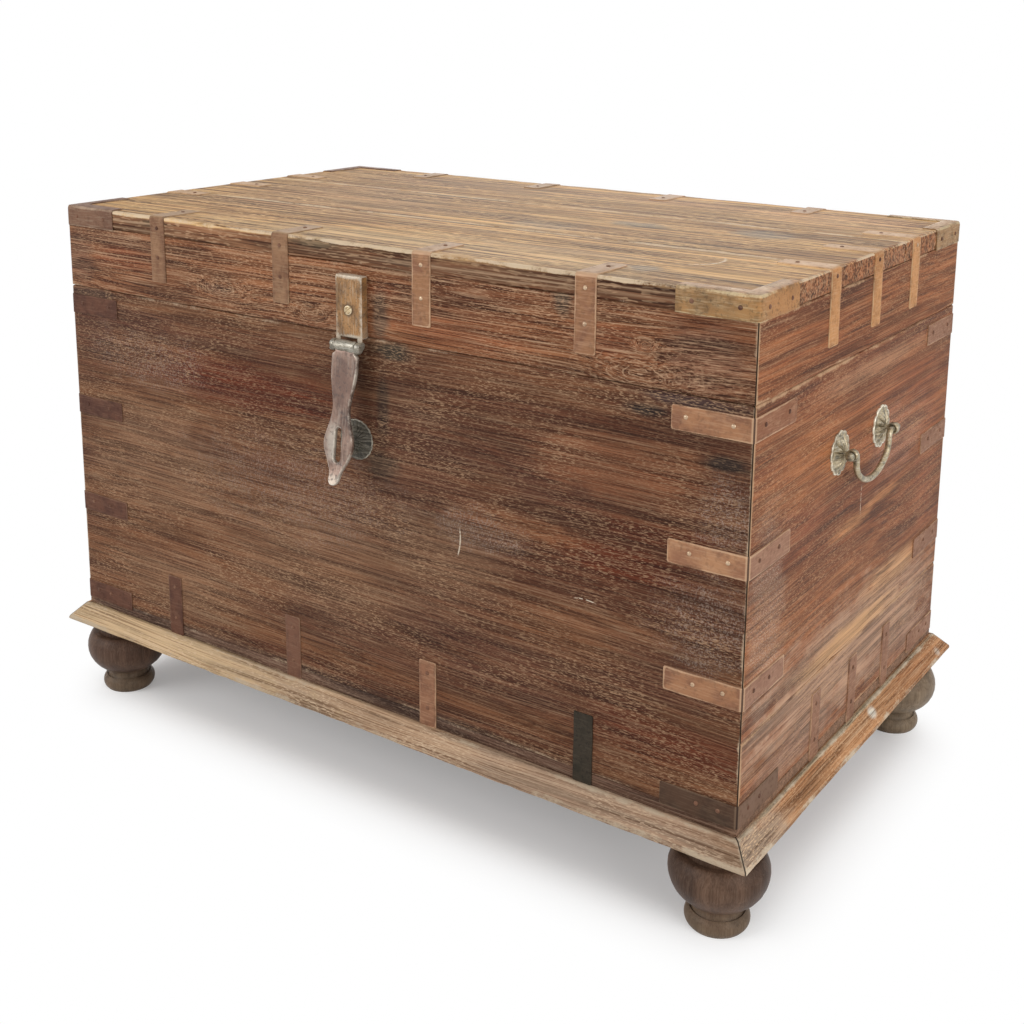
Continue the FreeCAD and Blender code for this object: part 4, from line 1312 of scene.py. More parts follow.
@dataclass
class Plinth:
    """The four bevelled rails that carry the box, and the turned feet under them."""

    chest: Chest
    edge_height: float = 3.5 * MM
    ledge: float = 4.0 * MM
    worn: Worn = Worn(ease=1.4 * MM, vary=0.8, chip=3.2 * MM, sway=0.8 * MM, mitre_wear=0.7)
    foot_sides: int = 72

    def build(self) -> None:
        """Makes the rails and the feet."""
        beige = WoodFinish(
            "front_rail_teak", Grain.ALONG_X, (0.23, 0.135, 0.078), (0.36, 0.235, 0.145), (0.5, 0.38, 0.27),
            (0.44, 0.35, 0.25), light_lines=0.4, dark_lines=0.65, wear=0.5, offset=11.0, rough=0.68,
            line_scale=0.8,
            patches=(
                Patch((0.3, self.chest.low[1] - 0.02, 0.1), (0.2, 0.1, 0.1), (0.31, 0.21, 0.145), 0.6),
                Patch((-0.36, self.chest.low[1] - 0.02, 0.1), (0.34, 0.1, 0.1), (0.49, 0.35, 0.2), 0.8)
            )
        ).build()
        chip = (0.78, 0.74, 0.64)
        orange = WoodFinish(
            "end_rail_teak", Grain.ALONG_Y, (0.26, 0.11, 0.045), (0.44, 0.225, 0.105), (0.62, 0.44, 0.28),
            (0.6, 0.5, 0.37), light_lines=0.4, dark_lines=0.7, wear=0.5, offset=13.0, rough=0.66,
            patches=(
                Patch((0.461, 0.059, 0.107), (0.014, 0.011, 0.006), chip, 0.95, 0.4),
                Patch((0.466, 0.26, 0.101), (0.01, 0.008, 0.005), chip, 0.95, 0.4),
                Patch((0.47, -0.245, 0.1), (0.05, 0.09, 0.05), (0.37, 0.29, 0.22), 0.75),
                Patch((0.465, 0.2, 0.1), (0.05, 0.12, 0.05), (0.36, 0.155, 0.066), 0.6),
                Patch((0.4535, 0.01, 0.1145), (0.004, 0.4, 0.003), (0.28, 0.27, 0.19), 0.8, 0.6)
            )
        ).build()
        for index, (way, material) in enumerate(
            ((Side.FRONT, beige), (Side.RIGHT, orange), (Side.BACK, beige), (Side.LEFT, orange))
        ):
            node = "plinth_rail_" + way.label
            seat = Seat.of_node(node, way)
            overhang = self.chest.low[1] - box("plinth_rail_front")[0][1]
            corners = np.array([
                [0, 0], [seat.depth, 0], [seat.depth, seat.height], [overhang - self.ledge, seat.height],
                [0, self.edge_height]
            ])
            surface = beam(seat, corners, 1, self.worn, 60 + 3 * index, 4 * MM)
            dress(surface, way.label + "_plinth_rail", "chest", material, (node,), 0.2 * index)
        self.build_feet()

    def foot_profile(self) -> Array:
        """Radii and heights of a foot from the floor up: arcs for its pad, waist, bulb and shoulder."""
        return np.concatenate([
            [(0.028, 0.0), (0.0287, 0.0012)], arc_points((0.0205, 0.0085), 0.0112, -40, 52, 12),
            arc_points((0.031, 0.0212), 0.0073, 222, 128, 8),
            [
                (0.03, 0.0275), (0.0352, 0.0308), (0.04, 0.0352), (0.0438, 0.0402), (0.0468, 0.0463),
                (0.0485, 0.0523), (0.049, 0.0575), (0.0486, 0.063), (0.047, 0.068), (0.0446, 0.0728),
                (0.0418, 0.0766), (0.0402, 0.0772), (0.0352, 0.0775), (0.035, 0.079), (0.035, 0.093)
            ]
        ])

    def build_feet(self) -> None:
        """Makes the four feet as one piece, with a slight unevenness from the lathe and from wear."""
        finish = WoodFinish(
            "foot_teak", Grain.ALONG_Z, (0.058, 0.032, 0.021), (0.112, 0.064, 0.041), (0.32, 0.24, 0.18),
            (0.3, 0.24, 0.19), light_lines=0.1, dark_lines=0.35, contrast=0.16, dust=0.1, wear=0.2,
            offset=17.0, rough=0.44,
            patches=(
                Patch((0.42, 0.25, 0.05), (0.1, 0.1, 0.1), (0.29, 0.22, 0.145), 0.7),
                Patch((0.42, -0.224, 0.004), (0.08, 0.08, 0.03), (0.175, 0.125, 0.08), 0.65),
                Patch((-0.42, -0.224, 0.004), (0.08, 0.08, 0.03), (0.165, 0.118, 0.076), 0.65),
                Patch((-0.42, -0.224, 0.06), (0.08, 0.08, 0.03), (0.075, 0.04, 0.028), 0.7)
            )
        ).build()
        low, high = box("feet")
        profile = self.foot_profile()
        widest = profile[:, 0].max()
        feet = []
        for x in (low[0] + widest, high[0] - widest):
            for y in (low[1] + widest, high[1] - widest):
                foot = lathe(profile, np.array([x, y, 0.0]), UP, self.foot_sides)
                away = foot.points[:, :2] - [x, y]
                uneven = 1 + 0.008 * ripple(foot.points, 40 * MM, 77) * (foot.points[:, 2] > 2 * MM)
                foot.points[:, :2] += away * (uneven[:, None] - 1)
                feet.append(foot)
        dress(joined(feet), "turned_feet", "chest", finish, ("feet",))


@dataclass
class Straps:
    """The flat straps of the box and the lid, the lid's corner brackets and all their nails."""

    chest: Chest
    thickness: float = 1.2 * MM
    edge_radius: float = 3.2 * MM
    tip: float = 1.4 * MM
    nail_radius: float = 2.3 * MM
    nail_height: float = 1.1 * MM
    nail_above_middle: float = 1.5 * MM
    nails: dict[tuple[str, bool], list[Surface]] = field(default_factory=dict)
    finishes: dict[str, Material] = field(default_factory=dict)

    def build(self) -> None:
        """Makes the finishes, the straps and brackets, and at last the nails that these have gathered."""
        self.make_finishes()
        self.corner_straps()
        self.base_straps()
        self.lid_straps()
        self.brackets()
        for (body, rubbed), heads in self.nails.items():
            label = ("bright" if rubbed else "dull") + "_nails_of_" + body
            finish = self.finishes["nail_brass" if rubbed else "dull_nail"]
            dress(joined(heads), label, body, finish)

    def make_finishes(self) -> None:
        """Makes four finishes and the variants of the first two that age and rubbing gave."""
        copper = MetalFinish(
            "copper_strap", (0.53, 0.34, 0.21), (0.33, 0.157, 0.078), (0.205, 0.092, 0.052),
            (0.05, 0.025, 0.017), metallic=0.2, rough=0.55, scale=30.0, brushed=0.3, wear=0.8, pitted=0.25,
            shine=0.2
        )
        brown = MetalFinish(
            "brown_strap", (0.2, 0.11, 0.07), (0.11, 0.046, 0.028), (0.075, 0.032, 0.022),
            (0.03, 0.016, 0.012), metallic=0.1, rough=0.6, scale=30.0, wear=0.6, pitted=0.25, shine=0.12
        )
        black = MetalFinish("dark_strap", (0.075, 0.06, 0.042), (0.036, 0.027, 0.018), (0.026, 0.021, 0.014),
                            (0.015, 0.012, 0.009), metallic=0.1, rough=0.6, scale=45.0, wear=0.3, shine=0.15)
        golden = Patch((0.455, -0.2, 0.6), (0.012, 0.08, 0.05), (0.42, 0.185, 0.055), 0.75)
        olive = MetalFinish(
            "bracket_brass", (0.6, 0.48, 0.29), (0.33, 0.175, 0.066), (0.2, 0.11, 0.046), (0.05, 0.036, 0.02),
            metallic=0.25, rough=0.5, scale=40.0, wear=0.6, pitted=0.5, shine=0.25, patches=(golden,)
        )
        nail = MetalFinish("nail_brass", (0.85, 0.72, 0.52), (0.52, 0.36, 0.23), (0.33, 0.21, 0.13),
                           (0.12, 0.08, 0.05), metallic=0.6, rough=0.4, scale=220.0)
        variants = (
            (copper, "dull_copper_strap", dict(body=(0.25, 0.115, 0.062), wear=0.6)),
            (copper, "copper_strap_round_end", dict(crease=0.9, faded=(0.27, 0.135, 0.085))),
            (
                copper, "gold_strap_round_end",
                dict(
                    crease=0.9, body=(0.4, 0.205, 0.105), tarnish=(0.27, 0.125, 0.068),
                    faded=(0.27, 0.135, 0.085)
                )
            ),
            (copper, "wooden_strap_round_end", dict(crease=0.9, faded=(0.23, 0.088, 0.04))),
            (
                copper, "copper_lid_strap",
                dict(body=(0.28, 0.135, 0.065), crease=0.01, faded=(0.36, 0.235, 0.135))
            ),
            (
                copper, "brown_lid_strap",
                dict(
                    bright=(0.4, 0.27, 0.16), body=(0.245, 0.13, 0.068), tarnish=(0.17, 0.08, 0.043),
                    faded=(0.36, 0.235, 0.135), wear=0.5
                )
            ),
            (
                copper, "gold_lid_strap",
                dict(
                    bright=(0.62, 0.42, 0.25), body=(0.5, 0.235, 0.085), wear=0.6,
                    tarnish=(0.36, 0.165, 0.06), faded=(0.44, 0.29, 0.17)
                )
            ),
            (
                copper, "wooden_brown_strap",
                dict(
                    body=(0.15, 0.066, 0.038), bright=(0.27, 0.16, 0.1), tarnish=(0.1, 0.045, 0.03), wear=0.6
                )
            ),
            (
                copper, "brown_bracket",
                dict(
                    body=(0.165, 0.083, 0.048), tarnish=(0.12, 0.056, 0.034), bright=(0.36, 0.26, 0.18),
                    wear=0.55
                )
            ),
            (
                brown, "sooty_strap",
                dict(
                    bright=(0.17, 0.11, 0.07), body=(0.078, 0.042, 0.026), crease=0.9,
                    tarnish=(0.055, 0.033, 0.022), faded=(0.2, 0.115, 0.075)
                )
            ),
            (brown, "dull_nail", dict(bright=(0.34, 0.21, 0.14), body=(0.18, 0.088, 0.054)))
        )
        made = [brown, black, olive, nail]
        made += [replace(base, name=name, **changed) for base, name, changed in variants]
        self.finishes = {finish.name: finish.build() for finish in made}

    def section(self, width: float) -> Array:
        """The section of a strap, as distances out and across."""
        return strip_ring(width, self.thickness, 0.5 * MM)

    def add(self, part: Surface, body: str, kind: str, where: str, index: int, finish: str) -> None:
        """Dresses one strap of a row. The row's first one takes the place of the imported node."""
        nodes = (f"{kind}_straps_{where}",) if index == 0 else ()
        dress(part, f"{where}_{kind}_strap_{index + 1}", body, self.finishes[finish], nodes)

    def nail(self, body: str, place: Array, outward: Array, rubbed: bool = True) -> None:
        """Adds a nail's head on the outer face of a strap: a bright, rubbed one or a dull one."""
        head = dome(place + outward * self.thickness, outward, self.nail_radius, self.nail_height)
        self.nails.setdefault((body, rubbed), []).append(head)

    def corner_straps(self) -> None:
        """Straps bent round the upright edges, four to an edge."""
        right_finishes = (
            "sooty_strap", "copper_strap_round_end", "gold_strap_round_end", "wooden_strap_round_end"
        )
        for name, front, end in self.chest.corners():
            node = "corner_straps_" + name
            away = np.abs(np.array(box(node)) - [0, self.chest.middle_y, 0])
            legs = away.max(axis=0) - self.thickness - away.min(axis=0)
            for index, (bottom, top) in enumerate(spans(node, 2)):
                place = self.chest.corner(front, end, 0) + UP * (bottom + top) / 2
                part = fold(place, front.outward, end.outward, legs[:2], self.section(top - bottom),
                            self.edge_radius, 200 + index, self.tip)
                for side, across, leg in ((front, end, legs[0]), (end, front, legs[1])):
                    rubbed = side is front and end is Side.RIGHT and index > 0
                    for reach in (0.24, 0.52 + 0.1 * index):
                        spot = place - across.outward * leg * reach + UP * self.nail_above_middle
                        self.nail("chest", spot, side.outward, rubbed)
                finish = right_finishes[index] if front is Side.FRONT else "dull_copper_strap"
                self.add(part, "chest", "corner", name, index, "brown_strap" if end is Side.LEFT else finish)

    def base_straps(self) -> None:
        """Short upright straps above the plinth."""
        front_finishes = ("brown_strap", "wooden_brown_strap", "dull_copper_strap", "dark_strap")
        for way in Side:
            node = "base_straps_" + way.label
            low, high = box(node)
            length = high[2] - low[2]
            for index, (start, end) in enumerate(spans(node, way.axis)):
                place = self.chest.face(way, (start + end) / 2, low[2])
                part = flat_strip(
                    place, way.outward, UP, length, self.section(end - start), 300 + index, self.tip
                )
                finish = "brown_strap" if index == 0 and way is not Side.RIGHT else "dull_copper_strap"
                finish = front_finishes[index] if way is Side.FRONT else finish
                self.add(part, "chest", "base", way.label, index, finish)
                for share in (0.28, 0.82) if index < 3 else ():
                    self.nail("chest", place + UP * length * share, way.outward, False)

    def lid_straps(self) -> None:
        """Straps folded over the lid's top edges."""
        for way in Side:
            node = "lid_straps_" + way.label
            low, high = box(node)
            legs = (self.chest.high[2] - low[2], abs((high - low) @ way.outward) - self.thickness)
            for index, (start, end) in enumerate(spans(node, way.axis)):
                corner = self.chest.face(way, (start + end) / 2, self.chest.high[2])
                part = fold(corner, way.outward, UP, legs, self.section(end - start), self.edge_radius,
                            400 + index, self.tip)
                finish = "brown_lid_strap" if index < 2 else "copper_lid_strap"
                self.add(part, "lid", "lid", way.label, index, "gold_lid_strap" if way.axis else finish)
                for drop in (0.1,) if way.axis else (0.17, 0.62):
                    self.nail("lid", corner - UP * legs[0] * drop, way.outward, index > 1)
                self.nail("lid", corner - way.outward * legs[1] * 0.7, UP, False)

    def brackets(self) -> None:
        """Folded brackets on the lid's top corners: two upright flanges, and one that lies on top, mitred."""
        leg, height, flange, out = 80 * MM, 23 * MM, 16 * MM, self.thickness
        ring = np.array([
            (-0.1 * MM, -height), (out - 0.3 * MM, -height), (out, -height + 0.4 * MM),
            (out, -height + 4 * MM), (out, -height / 2), (out, -3 * MM), (out - 0.4 * MM, -1.0 * MM),
            (out - 1.4 * MM, 0.6 * MM), (-3 * MM, out), (-flange / 2, out), (-flange + 3 * MM, out),
            (-flange + 0.4 * MM, out), (-flange, out - 0.3 * MM), (-flange, -0.1 * MM), (-0.1 * MM, -0.1 * MM)
        ])
        near_edge = [1, 1, 1, 0, 0, 0.6, 1, 1, 0.6, 0, 0, 1, 1, 1, 0.0]
        for name, front, end in self.chest.corners():
            corner = self.chest.corner(front, end, self.chest.high[2])
            part = fold(corner, front.outward, end.outward, (leg, leg), ring, self.edge_radius, 500)
            part.marks["edge"] = np.tile(near_edge, len(part.points) // len(ring))
            finish = self.finishes["bracket_brass" if end is Side.RIGHT else "brown_bracket"]
            dress(part, name + "_lid_bracket", "lid", finish, ("lid_bracket_" + name,))
            for side, across in ((front, end), (end, front)):
                for reach in (0.22, 0.8):
                    spot = corner - across.outward * leg * reach - UP * height * 0.5
                    self.nail("lid", spot, side.outward, False)


@dataclass
class Lid:
    """The lid: three top boards over a mitred frame of aprons."""

    chest: Chest
    worn: Worn = Worn(ease=1.6 * MM, vary=0.7, chip=2.4 * MM)
    top_worn: Worn = Worn(ease=2.4 * MM, vary=0.7, chip=3.0 * MM, sway=0.4 * MM)

    def build(self) -> None:
        """Makes the boards and aprons with their finishes."""
        face = self.chest.low[1]
        top_z = self.chest.high[2]
        knots = (
            Knot((-0.19, face, 0.549), (0.034, 0.2, 0.011), 0.008),
            Knot((-0.062, face, 0.54), (0.024, 0.2, 0.01), 0.006),
            Knot((0.341, face, 0.562), (0.009, 0.2, 0.005), 0.008),
            Knot((0.335, face, 0.535), (0.045, 0.2, 0.015), 0.008)
        )
        rust, brown = (0.215, 0.07, 0.03), (0.115, 0.062, 0.042)
        apron = WoodFinish(
            "apron_teak", Grain.ALONG_X, (0.11, 0.038, 0.016), (0.215, 0.084, 0.035), (0.44, 0.28, 0.17),
            (0.44, 0.31, 0.2), light_lines=0.65, dark_lines=1.05, contrast=0.38, dust=0.45, wear=0.36,
            offset=19.0, knots=knots,
            patches=patches_on(
                1, face, 0.1,
                (
                    (-0.3, 0.56, 0.18, 0.05, (0.15, 0.06, 0.027), 0.6),
                    (-0.37, 0.585, 0.1, 0.014, (0.085, 0.036, 0.02), 0.6),
                    (-0.36, 0.565, 0.07, 0.016, rust, 0.7), (0.02, 0.572, 0.05, 0.015, rust, 0.7),
                    (-0.2, 0.549, 0.03, 0.006, (0.1, 0.04, 0.024), 0.7, 0.8),
                    (0.14, 0.545, 0.12, 0.018, rust, 0.5), (0.4, 0.556, 0.06, 0.04, brown, 0.6),
                    (0.3, 0.562, 0.05, 0.02, rust, 0.6),
                    (0.253, 0.592, 0.014, 0.02, (0.085, 0.075, 0.055), 0.7),
                    (0.033, 0.55, 0.014, 0.04, (0.05, 0.042, 0.032), 0.7, 1.2),
                    (-0.43, 0.56, 0.03, 0.04, brown, 0.5)
                )
            )
        ).build()
        end = WoodFinish(
            "end_apron_teak", Grain.ALONG_Y, (0.125, 0.038, 0.014), (0.26, 0.09, 0.033), (0.44, 0.27, 0.155),
            (0.47, 0.3, 0.175), light_lines=0.4, dark_lines=0.7, contrast=0.36, dust=0.4, wear=0.5,
            offset=23.0
        ).build()
        grey, orange = (0.2, 0.18, 0.15), (0.5, 0.29, 0.155)
        marked = (
            Patch((0.4505, 0.011, 0.607), (0.007, 0.4, 0.03), (0.27, 0.105, 0.042), 0.85),
            Patch((-0.4505, 0.011, 0.607), (0.007, 0.4, 0.03), (0.2, 0.085, 0.038), 0.85),
            Patch((0.05, -0.215, top_z), (0.4, 0.05, 0.012), (0.62, 0.43, 0.23), 0.55)
        )
        marked += patches_on(
            2, top_z, 0.01,
            (
                (0.172, 0.03, 0.05, 0.025, grey, 0.75, 1.6), (0.313, 0.05, 0.04, 0.03, grey, 0.75, 1.6),
                (0.303, -0.2, 0.035, 0.018, grey, 0.7, 1.6),
                (0.084, -0.04, 0.06, 0.03, (0.28, 0.22, 0.16), 0.5, 1.6),
                (-0.25, -0.02, 0.24, 0.2, (0.3, 0.17, 0.082), 0.85, 1.4),
                (-0.2, 0.2, 0.24, 0.06, (0.27, 0.15, 0.075), 0.75, 1.6),
                (0.19, -0.16, 0.16, 0.02, (0.36, 0.235, 0.135), 0.6, 1.6),
                (0.33, 0.2, 0.14, 0.07, orange, 0.6, 1.2), (0.1, 0.22, 0.2, 0.04, orange, 0.5, 1.2)
            )
        )
        marked += patches_on(1, face, 0.03, (
            (-0.05, 0.615, 0.06, 0.006, (0.1, 0.075, 0.045), 0.75, 1.6),
            (-0.3, 0.612, 0.03, 0.006, (0.1, 0.075, 0.045), 0.6, 1.6),
            (0.07, 0.608, 0.05, 0.005, (0.12, 0.085, 0.055), 0.6, 1.6),
        ))
        top = WoodFinish(
            "top_teak", Grain.ALONG_X, (0.235, 0.12, 0.045), (0.5, 0.295, 0.118), (0.68, 0.47, 0.26),
            (0.62, 0.48, 0.33), light_lines=0.7, dark_lines=1.2, contrast=0.46, dust=0.55, wear=0.62,
            offset=29.0, rough=0.62, line_scale=0.38,
            flank=((0.125, 0.054, 0.026), (0.225, 0.105, 0.05), (0.37, 0.245, 0.15)), patches=marked,
            scratches=(Scratch((0.318, -0.125, top_z), 0.032, (0.345, -0.135, top_z + 0.03), 0.05, 2.4 * MM),)
        ).build()
        for index, place in enumerate(("front", "middle", "back")):
            node = "lid_board_" + place
            surface = block(Seat.of_node(node, Side.FRONT), 0, self.top_worn, 80 + 3 * index)
            dress(surface, place + "_lid_board", "lid", top, (node,), 0.25 * index)
        for index, way in enumerate(Side):
            node = "lid_apron_" + way.label
            material = apron if way in (Side.FRONT, Side.BACK) else end
            seat = replace(Seat.of_node(node, way), length=self.chest.run(way))
            surface = block(seat, 1, self.worn, 100 + 3 * index)
            tone = 0.0 if way in (Side.FRONT, Side.RIGHT) else 0.6
            dress(surface, way.label + "_lid_apron", "lid", material, (node,), tone)


@dataclass
class Hasp:
    """The leaf on the lid, the swinging arm, its pin, the screw, and the staple with its rosette."""

    chest: Chest
    leaf_out: float = 10 * MM
    leaf_wall: float = 2 * MM
    leaf_width: float = 35 * MM
    leaf_above_seam: float = -1.0 * MM
    screw_above_seam: float = 28 * MM
    lean: float = 8.0
    roll_radius: float = 6 * MM
    roll_length: float = 26 * MM
    ear_length: float = 6.2 * MM
    play: float = 0.3 * MM
    thickness: float = 5 * MM
    length: float = 145 * MM
    head_distance: float = 103 * MM
    slot_width: float = 9 * MM
    slot_length: float = 36 * MM
    curl_length: float = 29 * MM
    curl_out: float = 5 * MM
    tip_half: float = 7 * MM
    half_widths: tuple[Point, ...] = (
        (3 * MM, 13 * MM), (6 * MM, 13 * MM), (10 * MM, 17 * MM), (24 * MM, 17 * MM), (66 * MM, 11 * MM),
        (103 * MM, 19.5 * MM), (138 * MM, 7 * MM)
    )

    def __post_init__(self) -> None:
        """Works out the pivot from the hasp's pin."""
        low, high = box("hasp_pin")
        self.pivot = (low + high) / 2

    def build(self) -> None:
        """Makes each piece with its finish."""
        screw = (0.0, self.chest.low[1] - self.leaf_out, box("lid_apron_front")[0][2] + self.screw_above_seam)
        brass = MetalFinish(
            "leaf_brass_finish", (0.6, 0.54, 0.44), (0.33, 0.17, 0.062), (0.19, 0.1, 0.043),
            (0.06, 0.04, 0.026), metallic=0.3, rough=0.5, scale=70.0, wear=0.6, brushed=0.25,
            streaks=(700.0, 60.0, 60.0), shine=0.3,
            patches=(Patch(screw, (0.0085, 0.0085, 0.0085), (0.06, 0.038, 0.022), 0.9, 0.5),)
        ).build()
        gold = MetalFinish("screw_brass", (0.85, 0.74, 0.52), (0.52, 0.38, 0.21), (0.3, 0.2, 0.1),
                           (0.08, 0.05, 0.03), metallic=0.5, rough=0.38, scale=260.0, wear=0.8).build()
        steel = MetalFinish(
            "arm_steel", (0.62, 0.56, 0.47), (0.225, 0.14, 0.104), (0.1, 0.058, 0.044), (0.03, 0.02, 0.017),
            metallic=0.45, rough=0.38, scale=34.0, wear=0.58, brushed=0.16, pitted=0.5,
            streaks=(420.0, 60.0, 35.0),
            patches=(
                # A painted highlight on the curled tip, where it turns up to the light; then paler round the
                # slot and darker below the roll.
                Patch((0.0, -0.289, 0.374), (0.016, 0.03, 0.014), (0.36, 0.31, 0.25), 0.75, 1.4),
                Patch((-0.006, -0.283, 0.414), (0.013, 0.03, 0.026), (0.44, 0.39, 0.33), 0.7, 1.6),
                Patch((0.0, -0.277, 0.478), (0.018, 0.03, 0.022), (0.125, 0.07, 0.052), 0.7, 1.4)
            )
        ).build()
        silver = MetalFinish(
            "knuckle_silver", (0.8, 0.77, 0.68), (0.34, 0.31, 0.25), (0.14, 0.12, 0.09), (0.03, 0.026, 0.02),
            metallic=0.6, rough=0.34, scale=170.0, depth=0.9 * MM
        ).build()
        dark = MetalFinish("rosette_dark", (0.5, 0.45, 0.36), (0.07, 0.058, 0.04), (0.04, 0.035, 0.026),
                           (0.02, 0.016, 0.013), metallic=0.4, rough=0.5, scale=120.0, wear=0.55).build()
        self.build_leaf(brass, silver, gold)
        self.build_arm(steel, silver)
        self.build_staple(silver, dark)

    def build_leaf(self, brass: Material, silver: Material, gold: Material) -> None:
        """The folded leaf with its tongue, its two ears and its slotted screw."""
        face, seam = self.chest.low[1], box("lid_apron_front")[0][2]
        top = box("hasp_leaf")[1][2]
        foot = seam + self.leaf_above_seam
        front = face - self.leaf_out
        tray = self.slab(0.0, front, foot, (self.leaf_width, self.leaf_out, top - foot),
                         Worn(1.4 * MM, 0.35, 0.8 * MM, 0.5 * MM), 120)
        tabs = [
            self.slab(sign * (self.leaf_width - self.ear_length) / 2, front, self.pivot[2],
                      (self.ear_length, self.leaf_wall, foot - self.pivot[2] + 1 * MM),
                      Worn(0.5 * MM, 0.3, 0.0, 0.1 * MM), 123)
            for sign in (-1, 1)
        ]
        dress(joined([tray] + tabs), "hasp_leaf_plate", "lid", brass, ("hasp_leaf",))
        start = self.roll_length / 2 + self.play
        ears = [
            barrel(self.pivot + EAST * sign * start, self.pivot + EAST * sign * (start + self.ear_length),
                   self.roll_radius, 1.8 * MM).hammered(0.8 * MM, 9 * MM, 131)
            for sign in (-1, 1)
        ]
        dress(joined(ears), "hasp_leaf_ears", "lid", silver)
        self.build_screw(np.array([0, front, seam + self.screw_above_seam]), gold)

    def slab(self, x: float, front: float, bottom: float, size: Point, worn: Worn, seed: int) -> Surface:
        """A small worn box, from its middle, front face, lower edge and size."""
        return block(Seat(np.array([x, front, bottom]), Side.FRONT, *size), 0, worn, seed, 3 * MM)

    def build_screw(self, place: Array, material: Material) -> None:
        """A slotted screw: a low disc with two half heads on it, a slot's width apart."""
        outward = Side.FRONT.outward
        radius, slot, turn = 4.8 * MM, 0.7 * MM, math.radians(40)
        right = np.array([math.cos(turn), 0, math.sin(turn)])
        up = np.cross(outward, right)
        disc = lathe(np.array([[radius * 0.97, -0.2 * MM], [radius * 0.97, 0.5 * MM]]), place, outward, 32)
        start = math.degrees(math.asin(slot / radius))
        halves = []
        for side in (0, 180):
            outline = arc_points((0.0, 0.0), radius, start + side, 180 - start + side, 16)
            halves.append(plate(outline, place, right, up, 1.4 * MM, 0.5 * MM))
        dress(joined([disc] + halves), "hasp_leaf_slotted_screw", "lid", material,
              ("hasp_leaf_screw",))

    def half_width(self, distance: Array) -> Array:
        """The arm's half width at distances below the pivot: smooth steps between its named places."""
        result = np.full_like(distance, self.half_widths[0][1])
        for (start, first), (end, second) in zip(self.half_widths, self.half_widths[1:]):
            step = first + (second - first) * smooth(distance, start, end)
            result = np.where(distance >= start, step, result)
        return result

    def arm_outlines(self) -> tuple[Array, Array]:
        """The arm's outline and its slot's, with as many points each, as distances right and down.

        The outline runs from the middle of the top down one side to the tip, and the slot's beside it, each
        of its points opposite one of the outline's. Both are mirrored for the other side.

        Returns:
            The outline and the slot's, each of shape (points, 2).
        """
        start = self.half_widths[0]
        edge = np.linspace(0, start[1], 7)[:-1]
        top = stack(edge, np.full_like(edge, start[0]))
        run = np.concatenate([np.linspace(3, 11, 9), np.linspace(12.5, 138, 76)]) * MM
        flank = stack(self.half_width(run), run)
        tip = arc_points((0.0, self.length - self.tip_half), self.tip_half, 0, 90, 9)[1:]
        right = np.concatenate([top, flank, tip])
        lengths = np.concatenate([[0], np.cumsum(np.linalg.norm(np.diff(right, axis=0), axis=1))])
        radius = self.slot_width / 2
        upper = self.head_distance - self.slot_length / 2 + radius
        lower = self.head_distance + self.slot_length / 2 - radius
        bends = np.interp([upper, lower], right[:, 1], lengths)
        quarter = radius * math.pi / 2
        straight = lower - upper
        travel = np.interp(lengths, [0, bends[0], bends[1], lengths[-1]],
                           [0, quarter, quarter + straight, 2 * quarter + straight])
        angle = np.clip(travel / radius, 0, math.pi / 2)
        angle = angle + np.clip((travel - quarter - straight) / radius, 0, math.pi / 2)
        middle = np.clip(travel - quarter, 0, straight)
        slot = stack(radius * np.sin(angle), upper + middle - radius * np.cos(angle))
        mirror = np.array([-1.0, 1.0])
        outline = np.concatenate([right, right[-2:0:-1] * mirror])
        slot = np.concatenate([slot, slot[-2:0:-1] * mirror])
        return outline, slot

    def build_arm(self, steel: Material, silver: Material) -> None:
        """The slotted arm: rings from the slot's edge, over the front and back over the rear."""
        outline, slot = self.arm_outlines()
        out, into = normals(outline), normals(slot)
        half = self.thickness / 2
        ease = 1.3 * MM
        rounding = [(0.0, 0.0), (0.08, 0.4), (0.3, 0.72), (0.6, 0.92), (1.0, 1.0)]
        rows = [slot + into * ease * share for share, _ in rounding]
        inner, outer = rows[-1], outline - out * ease
        across = (0.04, 0.1, 0.22, 0.4, 0.6, 0.78, 0.9, 0.96)
        rows += [inner + (outer - inner) * share for share in across]
        rows += [outline - out * ease * share for share, _ in reversed(rounding)]
        risen = [lift for _, lift in rounding]
        lifts = risen + [1.0] * len(across) + risen[::-1]
        edges = [1.0] * 5 + [0.5, 0.0, 0.0, 0.0, 0.0, 0.0, 0.0, 0.5] + [1.0] * 5
        front = np.array(rows)
        loops = np.concatenate([front, front[-2:0:-1]])
        lift = np.array(lifts + [-value for value in lifts[-2:0:-1]]) * half
        edge = np.array(edges + edges[-2:0:-1])
        along, down = loops[..., 0], loops[..., 1]
        share = np.clip((down - (self.length - self.curl_length)) / self.curl_length, 0, 1.2)
        outward = lift[:, None] + self.curl_out * share ** 2
        flat = stack(along, down, outward)
        outward = outward + 0.22 * MM * ripple(flat, 18 * MM, 140)
        angle = math.radians(self.lean)
        points = stack(
            self.pivot[0] + along,
            self.pivot[1] - outward * math.cos(angle) - down * math.sin(angle),
            self.pivot[2] - down * math.cos(angle) + outward * math.sin(angle)
        )
        marks = {"edge": np.broadcast_to(edge[:, None], along.shape)}
        arm = skin(points, marks, closed=True)
        dress(arm, "hasp_arm_blade", "hasp", steel, ("hasp_arm",))
        across = EAST * self.roll_length / 2
        roll = barrel(self.pivot - across, self.pivot + across, self.roll_radius, 1.2 * MM)
        roll.hammered(0.7 * MM, 11 * MM, 141)
        dress(roll, "hasp_arm_roll", "hasp", silver)

